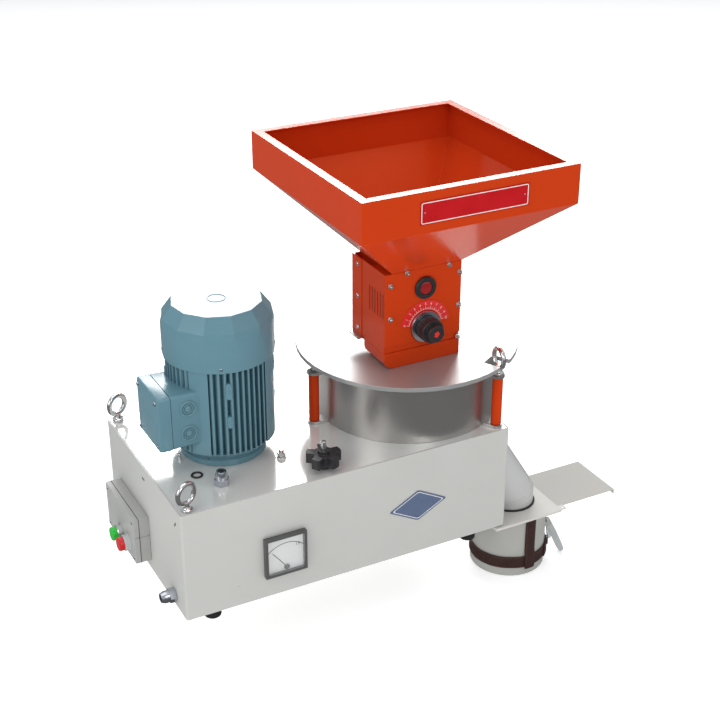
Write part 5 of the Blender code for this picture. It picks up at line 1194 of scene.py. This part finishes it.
def make_strap():
    low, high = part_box("sleeve_strap")
    outer = (high.y - low.y) / 2
    x = low.x + outer
    y = (low.y + high.y) / 2
    foot = low.z
    top = high.z - 0.0004
    inner = outer - 0.0039 + 0.0002 + STRAP_THICK / 2
    place = at(x, y, foot + 0.016)
    lap = band_shape(inner + STRAP_THICK + 0.0001, STRAP_WIDTH - 0.0006, STRAP_THICK * 0.9, LAP_START,
                     LAP_END, 24)
    shapes = [(band_shape(inner, STRAP_WIDTH, STRAP_THICK, 0, 360, 120), place), (lap, place)]
    over = inner + STRAP_THICK + 0.0002
    path = []
    for radius, height, share in (
        (inner, top, 1.0), (inner, foot + 0.062, 1.0), (inner + 0.0004, foot + 0.045, 1.0),
        (over, foot + 0.0345, 1.0), (over + 0.0002, foot + 0.026, 1.0), (over + 0.0003, foot + 0.018, 1.0),
        (over + 0.0003, foot + 0.008, 1.0), (over + 0.0002, foot - 0.0005, 0.985), (over + 0.0001,
                                                                                    foot - 0.0035, 0.94),
    ):
        path.append((radius, height, TAIL_HALF_WIDTH * share))
    shapes.append((tail_shape(path, STRAP_THICK), at(x, y, 0.0)))
    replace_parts(make_piece("leather_strap", shapes, strap_brown, angle=50), "sleeve_strap")
    threads = []
    reach = inner + STRAP_THICK / 2 + 0.0001
    count = int(2 * math.pi * reach / STITCH_PITCH)
    for i in range(count):
        degrees = 360.0 * i / count
        signed = degrees if degrees < 180 else degrees - 360
        if abs(signed - TAIL_AT) < TAIL_CLEAR:
            continue
        radius = reach + (STRAP_THICK if LAP_START <= signed <= LAP_END else 0.0)
        for side in (-1, 1):
            spot = at(radius, 0.0, side * (STRAP_WIDTH / 2 - STITCH_INSET))
            threads.append((stitch(), place @ turned(degrees) @ spot @ turned(90, "X")))
    for i in range(int((top - foot - 0.02) / STITCH_PITCH)):
        height = foot + 0.018 + i * STITCH_PITCH
        radius = (over if height < foot + 0.040 else inner) + STRAP_THICK / 2 + 0.0001
        for side in (-1, 1):
            turn = Matrix.Rotation(math.radians(TAIL_AT) + side * (TAIL_HALF_WIDTH - 0.0030) / radius, 4, "Z")
            threads.append((stitch(), at(x, y, height) @ turn @ at(radius, 0.0, 0.0)))
    make_piece("strap_stitching", threads, thread_tan, angle=60)
    make_strap_plate(place @ turned(LATCH_AT) @ at(inner + STRAP_THICK * 1.5 + 0.0003, 0.0, 0.0, FACE_OUT))


def make_strap_plate(place):
    # The riveted steel end of the band, below the latch, and the buckle on it.
    shapes = [(slab(rounded_outline(0.0125, 0.0090, 0.003), 0.0, 0.0012), place)]
    for side in (-1, 1):
        shapes.append((button_head(0.0026, 0.0013), place @ at(side * 0.0078, 0.0, 0.0012)))
    make_piece("strap_end_plate", shapes, gland_nickel)
    loop = border(0.0120, 0.0095, 0.0026, 0.0035, 0.0026)
    make_piece("strap_buckle", [(loop, place @ at(0.0, 0.0, 0.0016))], cast_iron, edge=0.0005)


# The latch lever is a formed channel; the link hangs from the same pin down to the strap's buckle
LEVER_LEAN = 24.0
LEVER_SECTIONS = ((0.000, 0.0062), (0.012, 0.0068), (0.038, 0.0082), (0.072, 0.0080), (0.087, 0.0062),
                  (0.091, 0.0036))
LEVER_HALF_WIDE = 0.0080
LEVER_WALL = 0.0016
LINK_LEAN = 9.0
LINK_SECTIONS = ((-0.002, 0.0036), (0.010, 0.0042), (0.030, 0.0040), (0.037, 0.0028))


def channel_bar(sections, half_wide, wall):
    # A folded channel, open towards the sleeve: two cheeks and a web whose depth follows the sections.
    rings = []
    for along, deep in sections:
        outer = [(-half_wide, -deep), (-half_wide, deep), (half_wide, deep), (half_wide, -deep)]
        inner = [(half_wide - wall, -deep), (half_wide - wall, deep - wall), (wall - half_wide, deep - wall)]
        inner.append((wall - half_wide, -deep))
        rings.append([Vector((reach, side, -along)) for side, reach in outer + inner])
    return loft(rings)


def make_latch():
    pivot = at(*LATCH_PIVOT) @ turned(LATCH_AT)
    lever = channel_bar(LEVER_SECTIONS, LEVER_HALF_WIDE, LEVER_WALL)
    barrel = lathe([(0.0028, -0.0078), (0.0058, -0.0078), (0.0058, 0.0078), (0.0028, 0.0078)], 40,
                   closed=True)
    shapes = [(lever, pivot @ turned(-LEVER_LEAN, "Y")), (barrel, pivot @ turned(90, "X"))]
    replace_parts(make_piece("latch_lever", shapes, latch_grey, body="latch", edge=0.0004), "strap_latch")
    link = channel_bar(LINK_SECTIONS, 0.0052, 0.0013)
    hung = pivot @ turned(-LINK_LEAN, "Y") @ at(-0.0020, 0.0, -0.0085)
    make_piece("latch_link", [(link, hung)], link_grey, edge=0.0003)


for step in (
    place_camera, lay_floor, light_studio, finish_nodes, ease_edges, make_lifting_eyes, make_deck_fittings,
    make_panel_rivets, make_underside_screws, make_motor_fittings, make_terminal_box, make_post_bolts,
    make_feeder_screws, make_louvres, make_speed_knob_trim, make_dial_marks, make_name_plate_border,
    make_badge, make_ammeter_details, make_control_trim, make_gland_seals, make_outlet_gasket, make_strap,
    make_latch,
):
    step()
